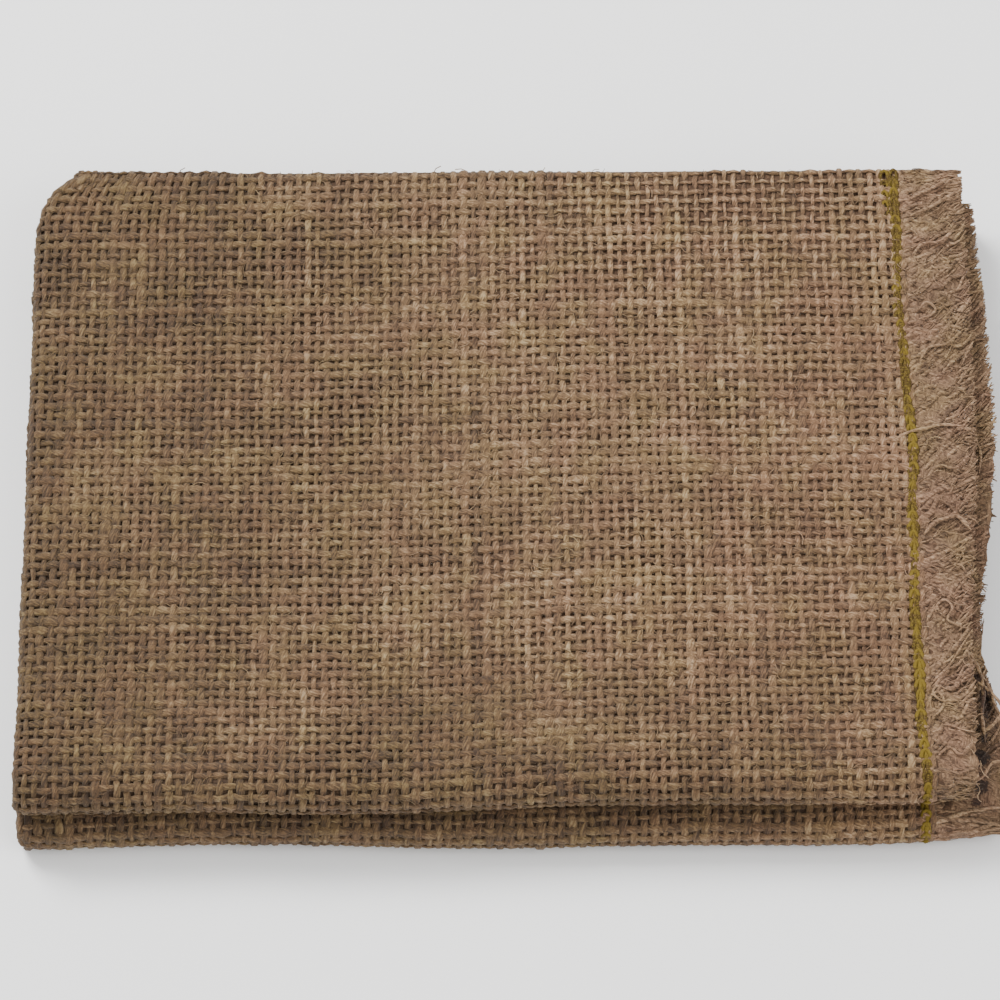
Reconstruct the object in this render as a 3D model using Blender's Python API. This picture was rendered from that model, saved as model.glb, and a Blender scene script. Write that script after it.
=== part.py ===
"""A burlap sack folded into a flat packet, as it is sold and stored.

The sack is one length of jute cloth, closed at one end and sewn up both long sides. It is folded
in half across its width, so its left side is a fold of four layers and both side seams lie on the
right, and then back and forth into four panels along its length. Outside each seam the raw edge
has frayed into a fringe of loose crosswise yarns.

Frame: +X to the seams, +Y to the closed end's edge, +Z up, origin under the middle of the packet.
Sizes are millimetres, and MM turns them into Blender's metres where the vertices are made.
"""
import math

import bmesh
import bpy
from mathutils import Matrix

MM = 0.001

# The cloth and how closely its layers lie.
CLOTH = 1.0          # thickness of one layer of jute
WALL_GAP = 0.4       # between the sack's two walls
HALF_GAP = 0.6       # between the two halves folded together across the width
PANEL_GAP = 0.5      # between two panels where they lie flat
ROLL_GAP = 1.4       # between two panels beside the roll that joins them
SWELL = 0.4          # how much further the panels stand apart where the cloth is full

# The packet, measured from the middle of its top panel.
LEFT_FOLD = -128.5   # the fold across the width
CLOSED_END = 98.0    # back edge of the top panel, the sack's closed end
MOUTH_END = 93.5     # back edge of the bottom panel, the sack's mouth
END_WANDER = 0.6     # how far those two edges stray from a straight line
SEAM_BACK = 107.0    # the stitch line at the back ...
SEAM_FRONT = 111.5   # ... and at the front
ALLOWANCE = 6.0      # woven cloth outside the stitch line
CORNER_CUT = 13.0    # how far the fold draws in at the back left corner
CORNER_RUN = 18.0    # length of edge that it draws in over
FOLD_WANDER = 0.9    # how far the fold across the width strays from a straight line

# Outer reach of the three rolls: the first and third lie in front, the second at the back.
ROLL_REACH = (-96.8, 96.5, -101.5)
ROLL_RUN = 34.0      # length of panel that lifts towards a roll
ROLL_WANDER = 0.8    # how far a roll strays from a straight line

# How finely the faces follow the cloth: closest beside the folds, where it bends.
ROLL_STEPS = 6
FOLD_STEPS = 5
ALONG_STEPS = (0.0, 0.03, 0.08, 0.2, 0.5, 0.8, 0.92, 0.97, 1.0)
ACROSS_STEPS = (0.06, 0.17, 0.36, 0.55, 0.74, 0.9)

# The frayed edges.
STRIP_GAP = 0.35     # between the cloth's edge and the fringe's strip
STRIP_WIDTH = 4.6    # loose yarns that still lie matted together
STRANDS = 24         # on the length of one panel
STRAND_RUN = (0.03, 0.97)   # the share of a panel that carries strands
STRAND_WIDTH = 0.5   # of the room that each strand has
TIP_WIDTH = 0.45     # of the strand's own width
TIP_DEPTH = 0.55
STRAND_LEAN = 3.6    # how far a tip lies behind its root
LEAN_SPREAD = 0.25   # the share by which the leans differ
LEAN_RUN = 16.0      # length of edge over which the lean dies away before a roll
ROOT_SPREAD = 0.4    # the share by which the spaces between the roots differ
ROLL_STRANDS = (1, 3)       # the steps of a roll that carry a strand
RAGGED = 2.6         # how far the strands' lengths differ

# How far the strands of each panel reach, against their place along the edge.
#          y, panel 1 (top), panel 2, panel 3, panel 4
REACH = (
    (98.0, 126.0, 128.0, 128.5, 128.0),
    (60.0, 127.5, 131.5, 131.0, 130.0),
    (15.0, 128.0, 133.5, 132.5, 131.0),
    (-8.0, 128.0, 132.5, 131.5, 130.0),
    (-34.0, 126.0, 129.0, 129.0, 128.0),
    (-47.0, 124.6, 126.8, 127.2, 127.5),
    (-64.0, 124.6, 127.5, 131.0, 132.5),
    (-82.0, 124.8, 129.0, 133.5, 135.0),
    (-101.0, 123.5, 128.0, 132.5, 134.0),
)

SHARP_ANGLE = math.radians(50)
JUTE_COLOUR = (0.262, 0.168, 0.102, 1.0)
FRINGE_COLOUR = (0.291, 0.191, 0.122, 1.0)

BUNDLE = 4 * CLOTH + 2 * WALL_GAP + HALF_GAP   # thickness of one panel's four layers
OUTER = BUNDLE / 2                             # from the panel's middle to its outer faces
INNER = HALF_GAP / 2                           # from the middle to the faces folded together
PANELS = 4
PANEL_LENGTH = CLOSED_END - ROLL_REACH[0]


def clear_scene():
    for thing in list(bpy.data.objects):
        bpy.data.objects.remove(thing, do_unlink=True)


def smooth(t):
    """An ease from 0 to 1."""
    t = min(1.0, max(0.0, t))
    return t * t * (3.0 - 2.0 * t)


def read_row(table, y, column):
    """A column of a table at a Y, read between its rows with an ease. Y falls down the table."""
    if y >= table[0][0]:
        return table[0][column]
    for upper, lower in zip(table, table[1:]):
        if y >= lower[0]:
            t = smooth((upper[0] - y) / (upper[0] - lower[0]))
            return upper[column] * (1.0 - t) + lower[column] * t
    return table[-1][column]


def seam_at(y):
    """Where the stitch line runs at a place along the panel."""
    t = (CLOSED_END - y) / PANEL_LENGTH
    return SEAM_BACK + (SEAM_FRONT - SEAM_BACK) * t


def roll_middle(roll, x):
    """The Y about which a roll turns. The fold lines aren't quite straight."""
    turn = (BUNDLE + ROLL_GAP) / 2 + OUTER
    side = 1.0 if roll == 1 else -1.0
    wander = ROLL_WANDER * (math.sin(x / 41.0 + 1.9 * roll) + 0.5 * math.sin(x / 17.0 + 2.7 * roll))
    return ROLL_REACH[roll] - side * (turn + ROLL_WANDER) + wander


def gap_under(panel, x, y):
    """The gap between a panel and the next one below it."""
    roll_y = roll_middle(panel, x)
    near = 1.0 - smooth(abs(y - roll_y) / ROLL_RUN)
    full = 0.5 + 0.5 * math.sin(x / 37.0 + 1.3 * panel) * math.cos(y / 31.0 - 0.8 * panel)
    return PANEL_GAP + (ROLL_GAP - PANEL_GAP) * near + SWELL * full * (1.0 - near)


def panel_height(panel, x, y):
    """The height of a panel's middle: the panels lie on one another, the last on the ground."""
    height = OUTER
    for lower in range(PANELS - 2, panel - 1, -1):
        height += BUNDLE + gap_under(lower, x, y)
    return height


def panel_ends(panel, x):
    """The Y at which a panel starts and ends, going along the sack from its closed end."""
    if panel == 0:
        return CLOSED_END + END_WANDER * math.sin(x / 29.0), roll_middle(0, x)
    if panel == PANELS - 1:
        return roll_middle(panel - 1, x), MOUTH_END + END_WANDER * math.sin(x / 33.0 + 1.0)
    return roll_middle(panel - 1, x), roll_middle(panel, x)


def corner_draw(x, y):
    """How far a point moves right, where the fold is rounded off at the back left corner."""
    middle = LEFT_FOLD / 2
    if x >= middle:
        return 0.0
    along = min(1.0, max(0.0, (y - (CLOSED_END - CORNER_RUN)) / CORNER_RUN))
    draw = CORNER_CUT * (1.0 - math.sqrt(1.0 - along * along))
    return draw * ((middle - x) / (middle - LEFT_FOLD)) ** 2


def facing(panel):
    """1 for a panel that lies face up and -1 for one that lies face down."""
    return 1.0 if panel % 2 == 0 else -1.0


def on_panel(x, n, panel, along):
    start, end = panel_ends(panel, x)
    y = start + (end - start) * along
    z = panel_height(panel, x, y) + facing(panel) * n
    return (x + corner_draw(x, y)) * MM, y * MM, z * MM


def on_roll(x, n, panel, turn):
    angle = math.pi * turn
    middle = roll_middle(panel, x)
    upper = panel_height(panel, x, middle)
    lower = panel_height(panel + 1, x, middle)
    radius = (upper - lower) / 2 + facing(panel) * n
    y = middle - facing(panel) * radius * math.sin(angle)
    z = (upper + lower) / 2 + radius * math.cos(angle)
    return (x + corner_draw(x, y)) * MM, y * MM, z * MM


def place(x, n, panel, along):
    """A point of the packet: x across it, n out from a panel's middle, along from 0 to 1.

    along from 1 to 2 runs round the roll after the panel. The first panel lies face up, the
    second face down and so on, so n turns over at every roll.
    """
    if along <= 1.0:
        return on_panel(x, n, panel, along)
    return on_roll(x, n, panel, along - 1.0)


def stations():
    """The places along the sack, as pairs of panel and along, from closed end to mouth."""
    places = []
    for panel in range(PANELS):
        places += [(panel, step) for step in ALONG_STEPS]
        if panel < PANELS - 1:
            places += [(panel, 1.0 + i / ROLL_STEPS) for i in range(1, ROLL_STEPS)]
    return places


def edge_y(panel, along):
    """The Y of a place along the sack, at its seams."""
    return place(SEAM_BACK, 0.0, panel, along)[1] / MM


def half_turn(middle, radius):
    """The points of a half turn round the left fold, from +n to -n, without its ends."""
    angles = [math.pi * i / FOLD_STEPS for i in range(1, FOLD_STEPS)]
    return [(middle - radius * math.sin(angle), radius * math.cos(angle)) for angle in angles]


def half_section(left, seam, ends, distance):
    """One face of the doubled cloth: in along n = distance, round the left fold and out again."""
    middle = left + OUTER
    across = ends + [seam] + [seam - (seam - middle) * t for t in ACROSS_STEPS] + [middle]
    upper = [(x, distance) for x in across]
    lower = [(x, -distance) for x in reversed(across)]
    return upper + half_turn(middle, distance) + lower


def bridge(bm, first, second):
    """Quads between two closed loops of vertices."""
    count = len(first)
    for i in range(count):
        j = (i + 1) % count
        bm.faces.new((first[i], first[j], second[j], second[i]))


def fill_between(bm, one, other):
    """Quads between two open lines of vertices."""
    for i in range(len(one) - 1):
        bm.faces.new((one[i], one[i + 1], other[i + 1], other[i]))


def add_loop(bm, section, panel, along):
    return [bm.verts.new(place(x, n, panel, along)) for x, n in section]


def outside_section(left, seam):
    """The outside of the doubled cloth: its outer faces, then back along the faces between."""
    edge = [seam + ALLOWANCE]
    between = half_section(left, seam, edge, INNER)
    return half_section(left, seam, edge, OUTER) + between[::-1]


def inside_section(left, seam):
    """The space between the sack's two walls, which ends at the stitch line."""
    inner_wall = half_section(left, seam, [], INNER + CLOTH)
    return half_section(left, seam, [], OUTER - CLOTH) + inner_wall[::-1]


def build_cloth():
    """The sack's cloth, one solid swept along the four panels and three rolls."""
    bm = bmesh.new()
    outside = []
    inside = []
    for index, (panel, along) in enumerate(stations()):
        left = LEFT_FOLD + FOLD_WANDER * math.sin(1.5 * (2 * panel + along))
        seam = seam_at(edge_y(panel, along))
        # The space between the walls starts one cloth's thickness in from the closed end.
        start = CLOTH / PANEL_LENGTH if index == 0 else along
        outside.append(add_loop(bm, outside_section(left, seam), panel, along))
        inside.append(add_loop(bm, inside_section(left, seam), panel, start))
    for one, two in zip(outside, outside[1:]):
        bridge(bm, two, one)
    for one, two in zip(inside, inside[1:]):
        bridge(bm, one, two)

    # The closed end: the walls meet in a fold, and the space between them is shut off.
    half = len(outside[0]) // 2
    fill_between(bm, outside[0][:half], outside[0][half:][::-1])
    part = len(inside[0]) // 2
    fill_between(bm, inside[0][part:][::-1], inside[0][:part])

    # The mouth: the edges of the two walls, and of the two seams beside them.
    shell = outside[-1]
    space = inside[-1]
    fill_between(bm, space[:part], shell[1:half - 1])
    fill_between(bm, space[part:], shell[half + 1:-1])
    upper_seam = (shell[0], shell[-1], shell[-2], space[-1], space[0], shell[1])
    lower_seam = (shell[half - 1], shell[half - 2], space[part - 1], space[part], shell[half + 1],
                  shell[half])
    for corners in (upper_seam, lower_seam):
        for second, third in zip(corners[1:], corners[2:]):
            bm.faces.new((corners[0], second, third))
    return bm


def spread(number):
    """An even but irregular spread of values from -1 to 1."""
    return 2.0 * ((number * 0.6180339887) % 1.0) - 1.0


def strand_lean(panel, along, number):
    """How far along its panel a strand's tip lies from its root: towards the back edge."""
    start, end = panel_ends(panel, SEAM_BACK)
    back = CLOSED_END + LEAN_RUN if panel == 0 else max(start, end)
    room = smooth((back - edge_y(panel, along)) / LEAN_RUN)
    return STRAND_LEAN * room * (1.0 + LEAN_SPREAD * spread(number)) / (end - start)


def strand_tip(panel, root, band, number):
    """The four corners of a strand's tip, in the order of its root's corners."""
    on_flat = root[0] < 1.0
    reach = read_row(REACH, edge_y(panel, root[0]), panel + 1)
    reach -= RAGGED * 0.5 * (1.0 + spread(number))
    middle = (root[0] + root[1]) / 2
    if on_flat:
        middle += strand_lean(panel, root[0], number)
    half = (root[1] - root[0]) / 2 * TIP_WIDTH
    # The tip is thinner than the root and lies level with the root's lower face.
    thin = (band[1] - band[0]) * (1.0 - TIP_DEPTH)
    if facing(panel) > 0:
        tip_band = (band[0], band[1] - thin)
    else:
        tip_band = (band[0] + thin, band[1])
    corners = []
    for n, side in ((tip_band[0], -1), (tip_band[1], -1), (tip_band[1], 1), (tip_band[0], 1)):
        along = middle + side * half
        if on_flat:
            corners.append(on_panel(reach, n, panel, along))
        else:
            corners.append(on_roll(reach, n, panel, along - 1.0))
    return corners


def strand_roots():
    """The strip's steps as panel, along and whether a strand grows between it and the next."""
    roots = []
    first, last = STRAND_RUN
    room = (last - first) / STRANDS
    space = 0.5 * (1.0 - STRAND_WIDTH)
    for panel in range(PANELS):
        roots.append((panel, 0.0, False))
        for i in range(STRANDS):
            uneven = 1.0 + ROOT_SPREAD * spread(i + 5 * panel)
            begin = first + room * (i + space * uneven)
            roots.append((panel, begin, True))
            roots.append((panel, begin + room * STRAND_WIDTH, False))
        roots.append((panel, 1.0, False))
        if panel < PANELS - 1:
            for i in range(1, ROLL_STEPS):
                roots.append((panel, 1.0 + i / ROLL_STEPS, i in ROLL_STRANDS))
    return roots


def build_fringe(band, first_number):
    """A narrow strip beside one seam with its frayed strands, one solid along all four panels.

    band is the strip's lower and upper n. The numbers make the two fringes differ.
    """
    bm = bmesh.new()
    roots = strand_roots()
    loops = []
    for panel, along, _ in roots:
        inner = seam_at(edge_y(panel, along)) + ALLOWANCE + STRIP_GAP
        outer = inner + STRIP_WIDTH
        section = ((inner, band[0]), (inner, band[1]), (outer, band[1]), (outer, band[0]))
        loops.append(add_loop(bm, section, panel, along))
    bm.faces.new(loops[0])
    bm.faces.new(loops[-1][::-1])
    for index, (one, two) in enumerate(zip(loops, loops[1:])):
        panel, along, grows = roots[index]
        for i, j in ((0, 1), (1, 2), (3, 0)):
            bm.faces.new((one[i], one[j], two[j], two[i]))
        if not grows:
            bm.faces.new((one[2], one[3], two[3], two[2]))
            continue
        root = (along, roots[index + 1][1])
        tip = [bm.verts.new(corner) for corner in strand_tip(panel, root, band, first_number + index)]
        bridge(bm, (one[3], one[2], two[2], two[3]), tip)
        bm.faces.new(tip)
    return bm


def make_object(name, bm, colour, roughness):
    bmesh.ops.recalc_face_normals(bm, faces=bm.faces[:])
    mesh = bpy.data.meshes.new(name)
    bm.to_mesh(mesh)
    bm.free()
    mesh.shade_smooth()
    mesh.set_sharp_from_angle(angle=SHARP_ANGLE)
    thing = bpy.data.objects.new(name, mesh)
    bpy.context.scene.collection.objects.link(thing)
    material = bpy.data.materials.new(name)
    material.use_nodes = True
    shader = material.node_tree.nodes["Principled BSDF"]
    shader.inputs["Base Color"].default_value = colour
    shader.inputs["Roughness"].default_value = roughness
    shader.inputs["Metallic"].default_value = 0.0
    mesh.materials.append(material)
    return thing


def stand_on_origin(things):
    """Move the meshes together, so that the origin lies under the middle of the packet."""
    corners = [vertex.co for thing in things for vertex in thing.data.vertices]
    low = [min(corner[axis] for corner in corners) for axis in range(3)]
    high = [max(corner[axis] for corner in corners) for axis in range(3)]
    shift = (-(low[0] + high[0]) / 2, -(low[1] + high[1]) / 2, -low[2])
    for thing in things:
        thing.data.transform(Matrix.Translation(shift))


def main():
    clear_scene()
    stand_on_origin([
        make_object("sack_cloth", build_cloth(), JUTE_COLOUR, 0.9),
        make_object("seam_fringe_upper", build_fringe((INNER, OUTER), 0), FRINGE_COLOUR, 0.95),
        make_object("seam_fringe_lower", build_fringe((-OUTER, -INNER), 3), FRINGE_COLOUR, 0.95),
    ])


main()
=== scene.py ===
# %% [markdown]
# # A folded burlap sack
# The sack is one length of jute cloth, sewn up both long sides, folded in half across its width and
# then back and forth into four panels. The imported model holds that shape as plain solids. This
# lesson dresses them: the yarns that show are laid over and under one another, the raw edges fray,
# and a yellow thread sews the seam.

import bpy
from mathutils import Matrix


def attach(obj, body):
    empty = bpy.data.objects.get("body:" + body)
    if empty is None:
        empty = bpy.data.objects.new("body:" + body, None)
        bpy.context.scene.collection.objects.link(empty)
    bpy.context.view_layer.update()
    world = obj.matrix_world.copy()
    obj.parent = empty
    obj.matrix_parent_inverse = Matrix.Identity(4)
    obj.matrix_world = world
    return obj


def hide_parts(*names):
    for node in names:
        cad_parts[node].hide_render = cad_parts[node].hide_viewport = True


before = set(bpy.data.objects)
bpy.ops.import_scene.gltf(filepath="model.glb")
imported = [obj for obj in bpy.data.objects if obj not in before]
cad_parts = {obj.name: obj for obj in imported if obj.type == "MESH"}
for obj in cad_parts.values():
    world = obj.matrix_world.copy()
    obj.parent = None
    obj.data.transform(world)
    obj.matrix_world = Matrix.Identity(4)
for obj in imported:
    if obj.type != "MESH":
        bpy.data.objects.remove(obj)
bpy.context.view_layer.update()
print("solids:", sorted(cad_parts))

# %% Tools
import math

import bmesh
import bpy
import numpy as np
from mathutils import Matrix, Vector

# %% [markdown]
# ## The form of the packet
# On a real sack the folds come first, and everything else follows them: the yarns, the seam and the
# frayed edge all bend round the same rolls. So the form is written once, as a function that says
# where a point of the cloth lies, and each piece below asks it. A point has an x across the packet,
# a distance n from the middle of its panel's four layers, and a place along the sack. The sizes are
# in millimetres, and those of the solids, except that the closed end stands a little further back
# on the left and its corner draws in a little less.

# %% Sizes of the packet
MM = 0.001
CLOTH = 1.0            # one layer
WALL_GAP = 0.4         # between the sack's two walls
HALF_GAP = 0.6         # between the two halves that the first fold lays together
PANEL_GAP = 0.5        # between a panel and the next one ...
ROLL_GAP = 1.4         # ... and near the roll that joins them
ROLL_RUN = 34.0        # the roll's gap closes over this length
SWELL = 0.4
LEFT_FOLD = -128.5
CLOSED_END = 98.0
MOUTH_END = 93.5
END_WANDER = 0.6
END_FULLER = 1.4       # the closed end stands further back on the left ...
FULLER_FROM = 40.0     # ... from this x on ...
FULLER_RUN = 70.0      # ... and fully after this length
SEAM_BACK = 107.0
SEAM_FRONT = 111.5
ALLOWANCE = 6.0
CORNER_CUT = 11.8      # how far the back left corner draws in
CORNER_RUN = 18.0
CORNER_ROUND = 0.985   # of a quarter circle
FOLD_WANDER = 0.9
FOLD_WAVE = 1.5
ROLL_REACH = (-96.8, 96.5, -101.5)
ROLL_WANDER = 0.8
ROLL_LENGTH = 18.0
PANELS = 4
BUNDLE = 4 * CLOTH + 2 * WALL_GAP + HALF_GAP
OUTER = BUNDLE / 2
INNER = HALF_GAP / 2
PANEL_LENGTH = CLOSED_END - ROLL_REACH[0]
TO_ORIGIN = np.array((-2.2016, 1.3669, 0.0))   # the packet's middle comes to the origin
print("one panel of four layers is", BUNDLE, "mm thick")


# %% Where a point of the cloth lies
def smooth(t):
    t = np.clip(t, 0.0, 1.0)
    return t * t * (3.0 - 2.0 * t)


def seam_at(y):
    return SEAM_BACK + (SEAM_FRONT - SEAM_BACK) * (CLOSED_END - y) / PANEL_LENGTH


# The stitches wander about the seam's line: y, and how far to the right.
STITCHES = np.array(((-98, -1.1), (-60, -0.8), (-20, 0.0), (10, 1.2), (52, 0.5), (70, 1.1), (98, 1.6)))


def stitch_at(y):
    return seam_at(y) + np.interp(y, STITCHES[:, 0], STITCHES[:, 1])


def roll_middle(roll, x):
    turn = (BUNDLE + ROLL_GAP) / 2 + OUTER
    side = 1.0 if roll == 1 else -1.0
    wander = ROLL_WANDER * (np.sin(x / 41.0 + 1.9 * roll) + 0.5 * np.sin(x / 17.0 + 2.7 * roll))
    return ROLL_REACH[roll] - side * (turn + ROLL_WANDER) + wander


def gap_under(panel, x, y):
    near = 1.0 - smooth(np.abs(y - roll_middle(panel, x)) / ROLL_RUN)
    full = 0.5 + 0.5 * np.sin(x / 37.0 + 1.3 * panel) * np.cos(y / 31.0 - 0.8 * panel)
    return PANEL_GAP + (ROLL_GAP - PANEL_GAP) * near + SWELL * full * (1.0 - near)


def panel_height(panel, x, y):
    height = OUTER + 0.0 * x
    for lower in range(PANELS - 2, panel - 1, -1):
        height = height + BUNDLE + gap_under(lower, x, y)
    return height


def panel_ends(panel, x):
    if panel == 0:
        fuller = END_FULLER * smooth((FULLER_FROM - x) / FULLER_RUN)
        return CLOSED_END + END_WANDER * np.sin(x / 29.0) + fuller, roll_middle(0, x)
    if panel == PANELS - 1:
        return roll_middle(panel - 1, x), MOUTH_END + END_WANDER * np.sin(x / 33.0 + 1.0)
    return roll_middle(panel - 1, x), roll_middle(panel, x)


def corner_draw(x, y):
    middle = LEFT_FOLD / 2
    along = np.clip((y - (CLOSED_END - CORNER_RUN)) / CORNER_RUN, 0.0, CORNER_ROUND)
    draw = CORNER_CUT * (1.0 - np.sqrt(1.0 - along * along))
    return draw * np.clip((middle - x) / (middle - LEFT_FOLD), 0.0, None) ** 2


def facing(panel):
    return 1.0 if panel % 2 == 0 else -1.0


def place(x, n, panel, along):
    """Points of the cloth. along runs from 0 to 1 on the panel and from 1 to 2 round its roll."""
    x, n, along = np.broadcast_arrays(np.asarray(x, float), n, along)
    start, end = panel_ends(panel, x)
    y = start + (end - start) * along
    z = panel_height(panel, x, y) + facing(panel) * n
    if panel < PANELS - 1:
        middle = roll_middle(panel, x)
        upper = panel_height(panel, x, middle)
        lower = panel_height(panel + 1, x, middle)
        radius = (upper - lower) / 2 + facing(panel) * n
        angle = np.pi * (along - 1.0)
        y = np.where(along > 1.0, middle - facing(panel) * radius * np.sin(angle), y)
        z = np.where(along > 1.0, (upper + lower) / 2 + radius * np.cos(angle), z)
    return np.stack((x + corner_draw(x, y), y, z), axis=-1)


def to_metres(points):
    return (np.asarray(points) + TO_ORIGIN) * MM


def y_at(panel, along):
    """How far back a place beside the seam lies."""
    y = place(SEAM_BACK, 0.0, panel, along)[..., 1]
    return y if y.ndim else float(y)


def left_fold(panel, along):
    return LEFT_FOLD + FOLD_WANDER * np.sin(FOLD_WAVE * (2 * panel + along))


def panel_of(g):
    """The panel at a place along the sack: g counts 2 for each panel with its roll."""
    return min(int(g // 2), PANELS - 1)


def shown(panel, side):
    """Whether a half of a panel is the top face of the packet."""
    return panel == 0 and side > 0


def resting(panel, side):
    """Whether a half of a panel lies on the floor."""
    return panel == PANELS - 1 and side > 0


print("top panel's middle:", place(0.0, OUTER, 0, 0.5).round(2))

# %% [markdown]
# ## Camera
# The photograph looks down on the sack from the front, about 30 degrees off straight down, through a
# long lens. Lines that are parallel on the sack lean together a little in the photograph, and that lean
# gives the angles. The camera is set before the pieces.

# %% Set the camera
CAMERA_AWAY = 1527.8
CAMERA_SWING = math.radians(1.70)
CAMERA_TILT = math.radians(30.23)
CAMERA_ROLL = math.radians(-2.03)
CAMERA_TARGET = Vector((-0.54, -6.88, 24.3))
CAMERA_LENS = 205.2
CAMERA_SENSOR = 36.0
CAMERA_SEES = 20.0

back = Vector((
    math.sin(CAMERA_SWING) * math.sin(CAMERA_TILT),
    -math.cos(CAMERA_SWING) * math.sin(CAMERA_TILT),
    math.cos(CAMERA_TILT),
))
level = Vector((0.0, 0.0, 1.0)).cross(back).normalized()
upright = back.cross(level)
right = level * math.cos(CAMERA_ROLL) + upright * math.sin(CAMERA_ROLL)
above = upright * math.cos(CAMERA_ROLL) - level * math.sin(CAMERA_ROLL)
lens = bpy.data.cameras.new("camera")
lens.sensor_width = CAMERA_SENSOR
lens.lens = CAMERA_LENS
lens.clip_end = CAMERA_SEES
camera = bpy.data.objects.new("camera", lens)
spot = (CAMERA_TARGET + Vector(TO_ORIGIN) + back * CAMERA_AWAY) * MM
turned = Matrix((right, above, back)).transposed().to_4x4()
camera.matrix_world = Matrix.Translation(spot) @ turned
bpy.context.scene.collection.objects.link(camera)
bpy.context.scene.camera = camera
print("camera at", [round(value, 3) for value in spot])

# %% [markdown]
# ## Floor and light
# A plain pale floor and large soft lights, as in a small photo tent. The light from behind and to
# the left grazes the weave a little, so that every yarn has a light and a dark side.

# %% Build the stage
FLOOR_SIZE = 3.0       # metres each way
# name, place, size, power
LIGHTS = (
    ("key light", (-0.9, 0.9, 1.6), 0.8, 64.0),
    ("fill light", (1.3, -0.9, 1.5), 1.6, 30.0),
)


def put_in_scene(thing):
    bpy.context.scene.collection.objects.link(thing)
    return thing


def new_material(name):
    """A material, its node tree and the inputs of its Principled shader."""
    material = bpy.data.materials.new(name)
    material.use_nodes = True
    return material, material.node_tree, material.node_tree.nodes["Principled BSDF"].inputs


pale_floor, _, finish = new_material("pale floor")
finish["Base Color"].default_value = (0.9, 0.9, 0.895, 1.0)
finish["Roughness"].default_value = 0.9
floor_mesh = bpy.data.meshes.new("floor")
corners = [(FLOOR_SIZE * x, FLOOR_SIZE * y, 0) for x, y in ((-1, -1), (1, -1), (1, 1), (-1, 1))]
floor_mesh.from_pydata(corners, [], [(0, 1, 2, 3)])
floor_mesh.materials.append(pale_floor)
floor = put_in_scene(bpy.data.objects.new("floor", floor_mesh))
for name, position, size, power in LIGHTS:
    light = bpy.data.lights.new(name, "AREA")
    light.size = size
    light.energy = power
    lamp = put_in_scene(bpy.data.objects.new(name, light))
    lamp.location = position
    lamp.rotation_euler = (-Vector(position)).to_track_quat("-Z", "Y").to_euler()
world = bpy.data.worlds.new("studio")
world.use_nodes = True
world.node_tree.nodes["Background"].inputs["Color"].default_value = (1.0, 1.0, 1.0, 1.0)
world.node_tree.nodes["Background"].inputs["Strength"].default_value = 1.0
bpy.context.scene.world = world
print("lights:", [entry[0] for entry in LIGHTS])

# %% [markdown]
# ## What jute looks like
# Jute yarn is a loose bundle of coarse fibres, lightly twisted: streaky along the yarn at a slant, from
# pale straw to brown, with flecks of bark. Every piece shares that finish, so it is one shader group.
# It stretches a noise along the yarn by a Grain input, turned by the twist of the spinning, and Matting
# mixes in fibres that cross the first. Each yarn brings its own tone as an attribute of its mesh, on
# the woven yarns with a painted highlight on their crowns, and a painted shade makes the cloth darker
# on the left and in front.


# %% Helpers for node trees
def feed(tree, entry, value):
    """Give an input a plain value, or link it to a socket or to a node's first output."""
    if isinstance(value, bpy.types.Node):
        value = next(s for s in value.outputs if s.enabled)
    if isinstance(value, bpy.types.NodeSocket):
        tree.links.new(value, entry)
    else:
        entry.default_value = value


def fill(tree, entries, values):
    """Feed a node's inputs by their names or places."""
    for key, value in values.items():
        named = [s for s in entries if s.enabled and s.name == key]
        feed(tree, named[0] if named else entries[key], value)


def add(tree, kind, inputs=None, **settings):
    """A node with its settings and its inputs."""
    node = tree.nodes.new(kind)
    for name, value in settings.items():
        setattr(node, name, value)
    fill(tree, node.inputs, inputs or {})
    return node


def new_tree(name, kind, inputs, outputs):
    """A node tree with named sockets, each with its sort and first value, and what comes in."""
    tree = bpy.data.node_groups.new(name, kind)
    for way, sockets in (("INPUT", inputs), ("OUTPUT", outputs)):
        for title, sort, *default in sockets:
            item = tree.interface.new_socket(title, in_out=way, socket_type="NodeSocket" + sort)
            if default:
                item.default_value = default[0]
    return tree, add(tree, "NodeGroupInput").outputs


def maths(tree, operation, one, other=0.0):
    return add(tree, "ShaderNodeMath", {0: one, 1: other}, operation=operation)


def vector_maths(tree, operation, one, other):
    return add(tree, "ShaderNodeVectorMath", {0: one, 1: other}, operation=operation)


def mix(tree, share, one, other, blend_type="MIX"):
    """A colour between two colours, or with MULTIPLY the first colour tinted by the other."""
    inputs = {"Factor": share, "A": one, "B": other}
    return add(tree, "ShaderNodeMix", inputs, data_type="RGBA", blend_type=blend_type)


def remap(tree, value, low, high, new_low=0.0, new_high=1.0):
    return add(tree, "ShaderNodeMapRange", {0: value, 1: low, 2: high, 3: new_low, 4: new_high})


def noise(tree, spot, scale, detail=2.0, roughness=0.5):
    inputs = {"Vector": spot, "Scale": scale, "Detail": detail, "Roughness": roughness}
    return add(tree, "ShaderNodeTexNoise", inputs)


def swing(tree, value, amount):
    """A noise as a change up and down by an amount."""
    return remap(tree, value, 0.3, 0.7, -amount, amount)


# %% Colours and unevenness of the fibre
# A painted shade on the straw colour, browner on the left and in front; and rosier at the seam.
SHADE_TINT = (0.53, 0.50, 0.38, 1.0)
ROSY = (1.0, 0.95, 0.96, 1.0)
# And each lot of fibre has its own cast, greenish or reddish: from and to where in the noise.
CASTS = ((0.52, 0.64, (0.95, 0.98, 0.86, 1.0)), (0.48, 0.36, (1.01, 0.95, 1.0, 1.0)))
BARK = (0.042, 0.021, 0.008, 1.0)
HIGHLIGHT = (0.37, 0.265, 0.155, 1.0)
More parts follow.
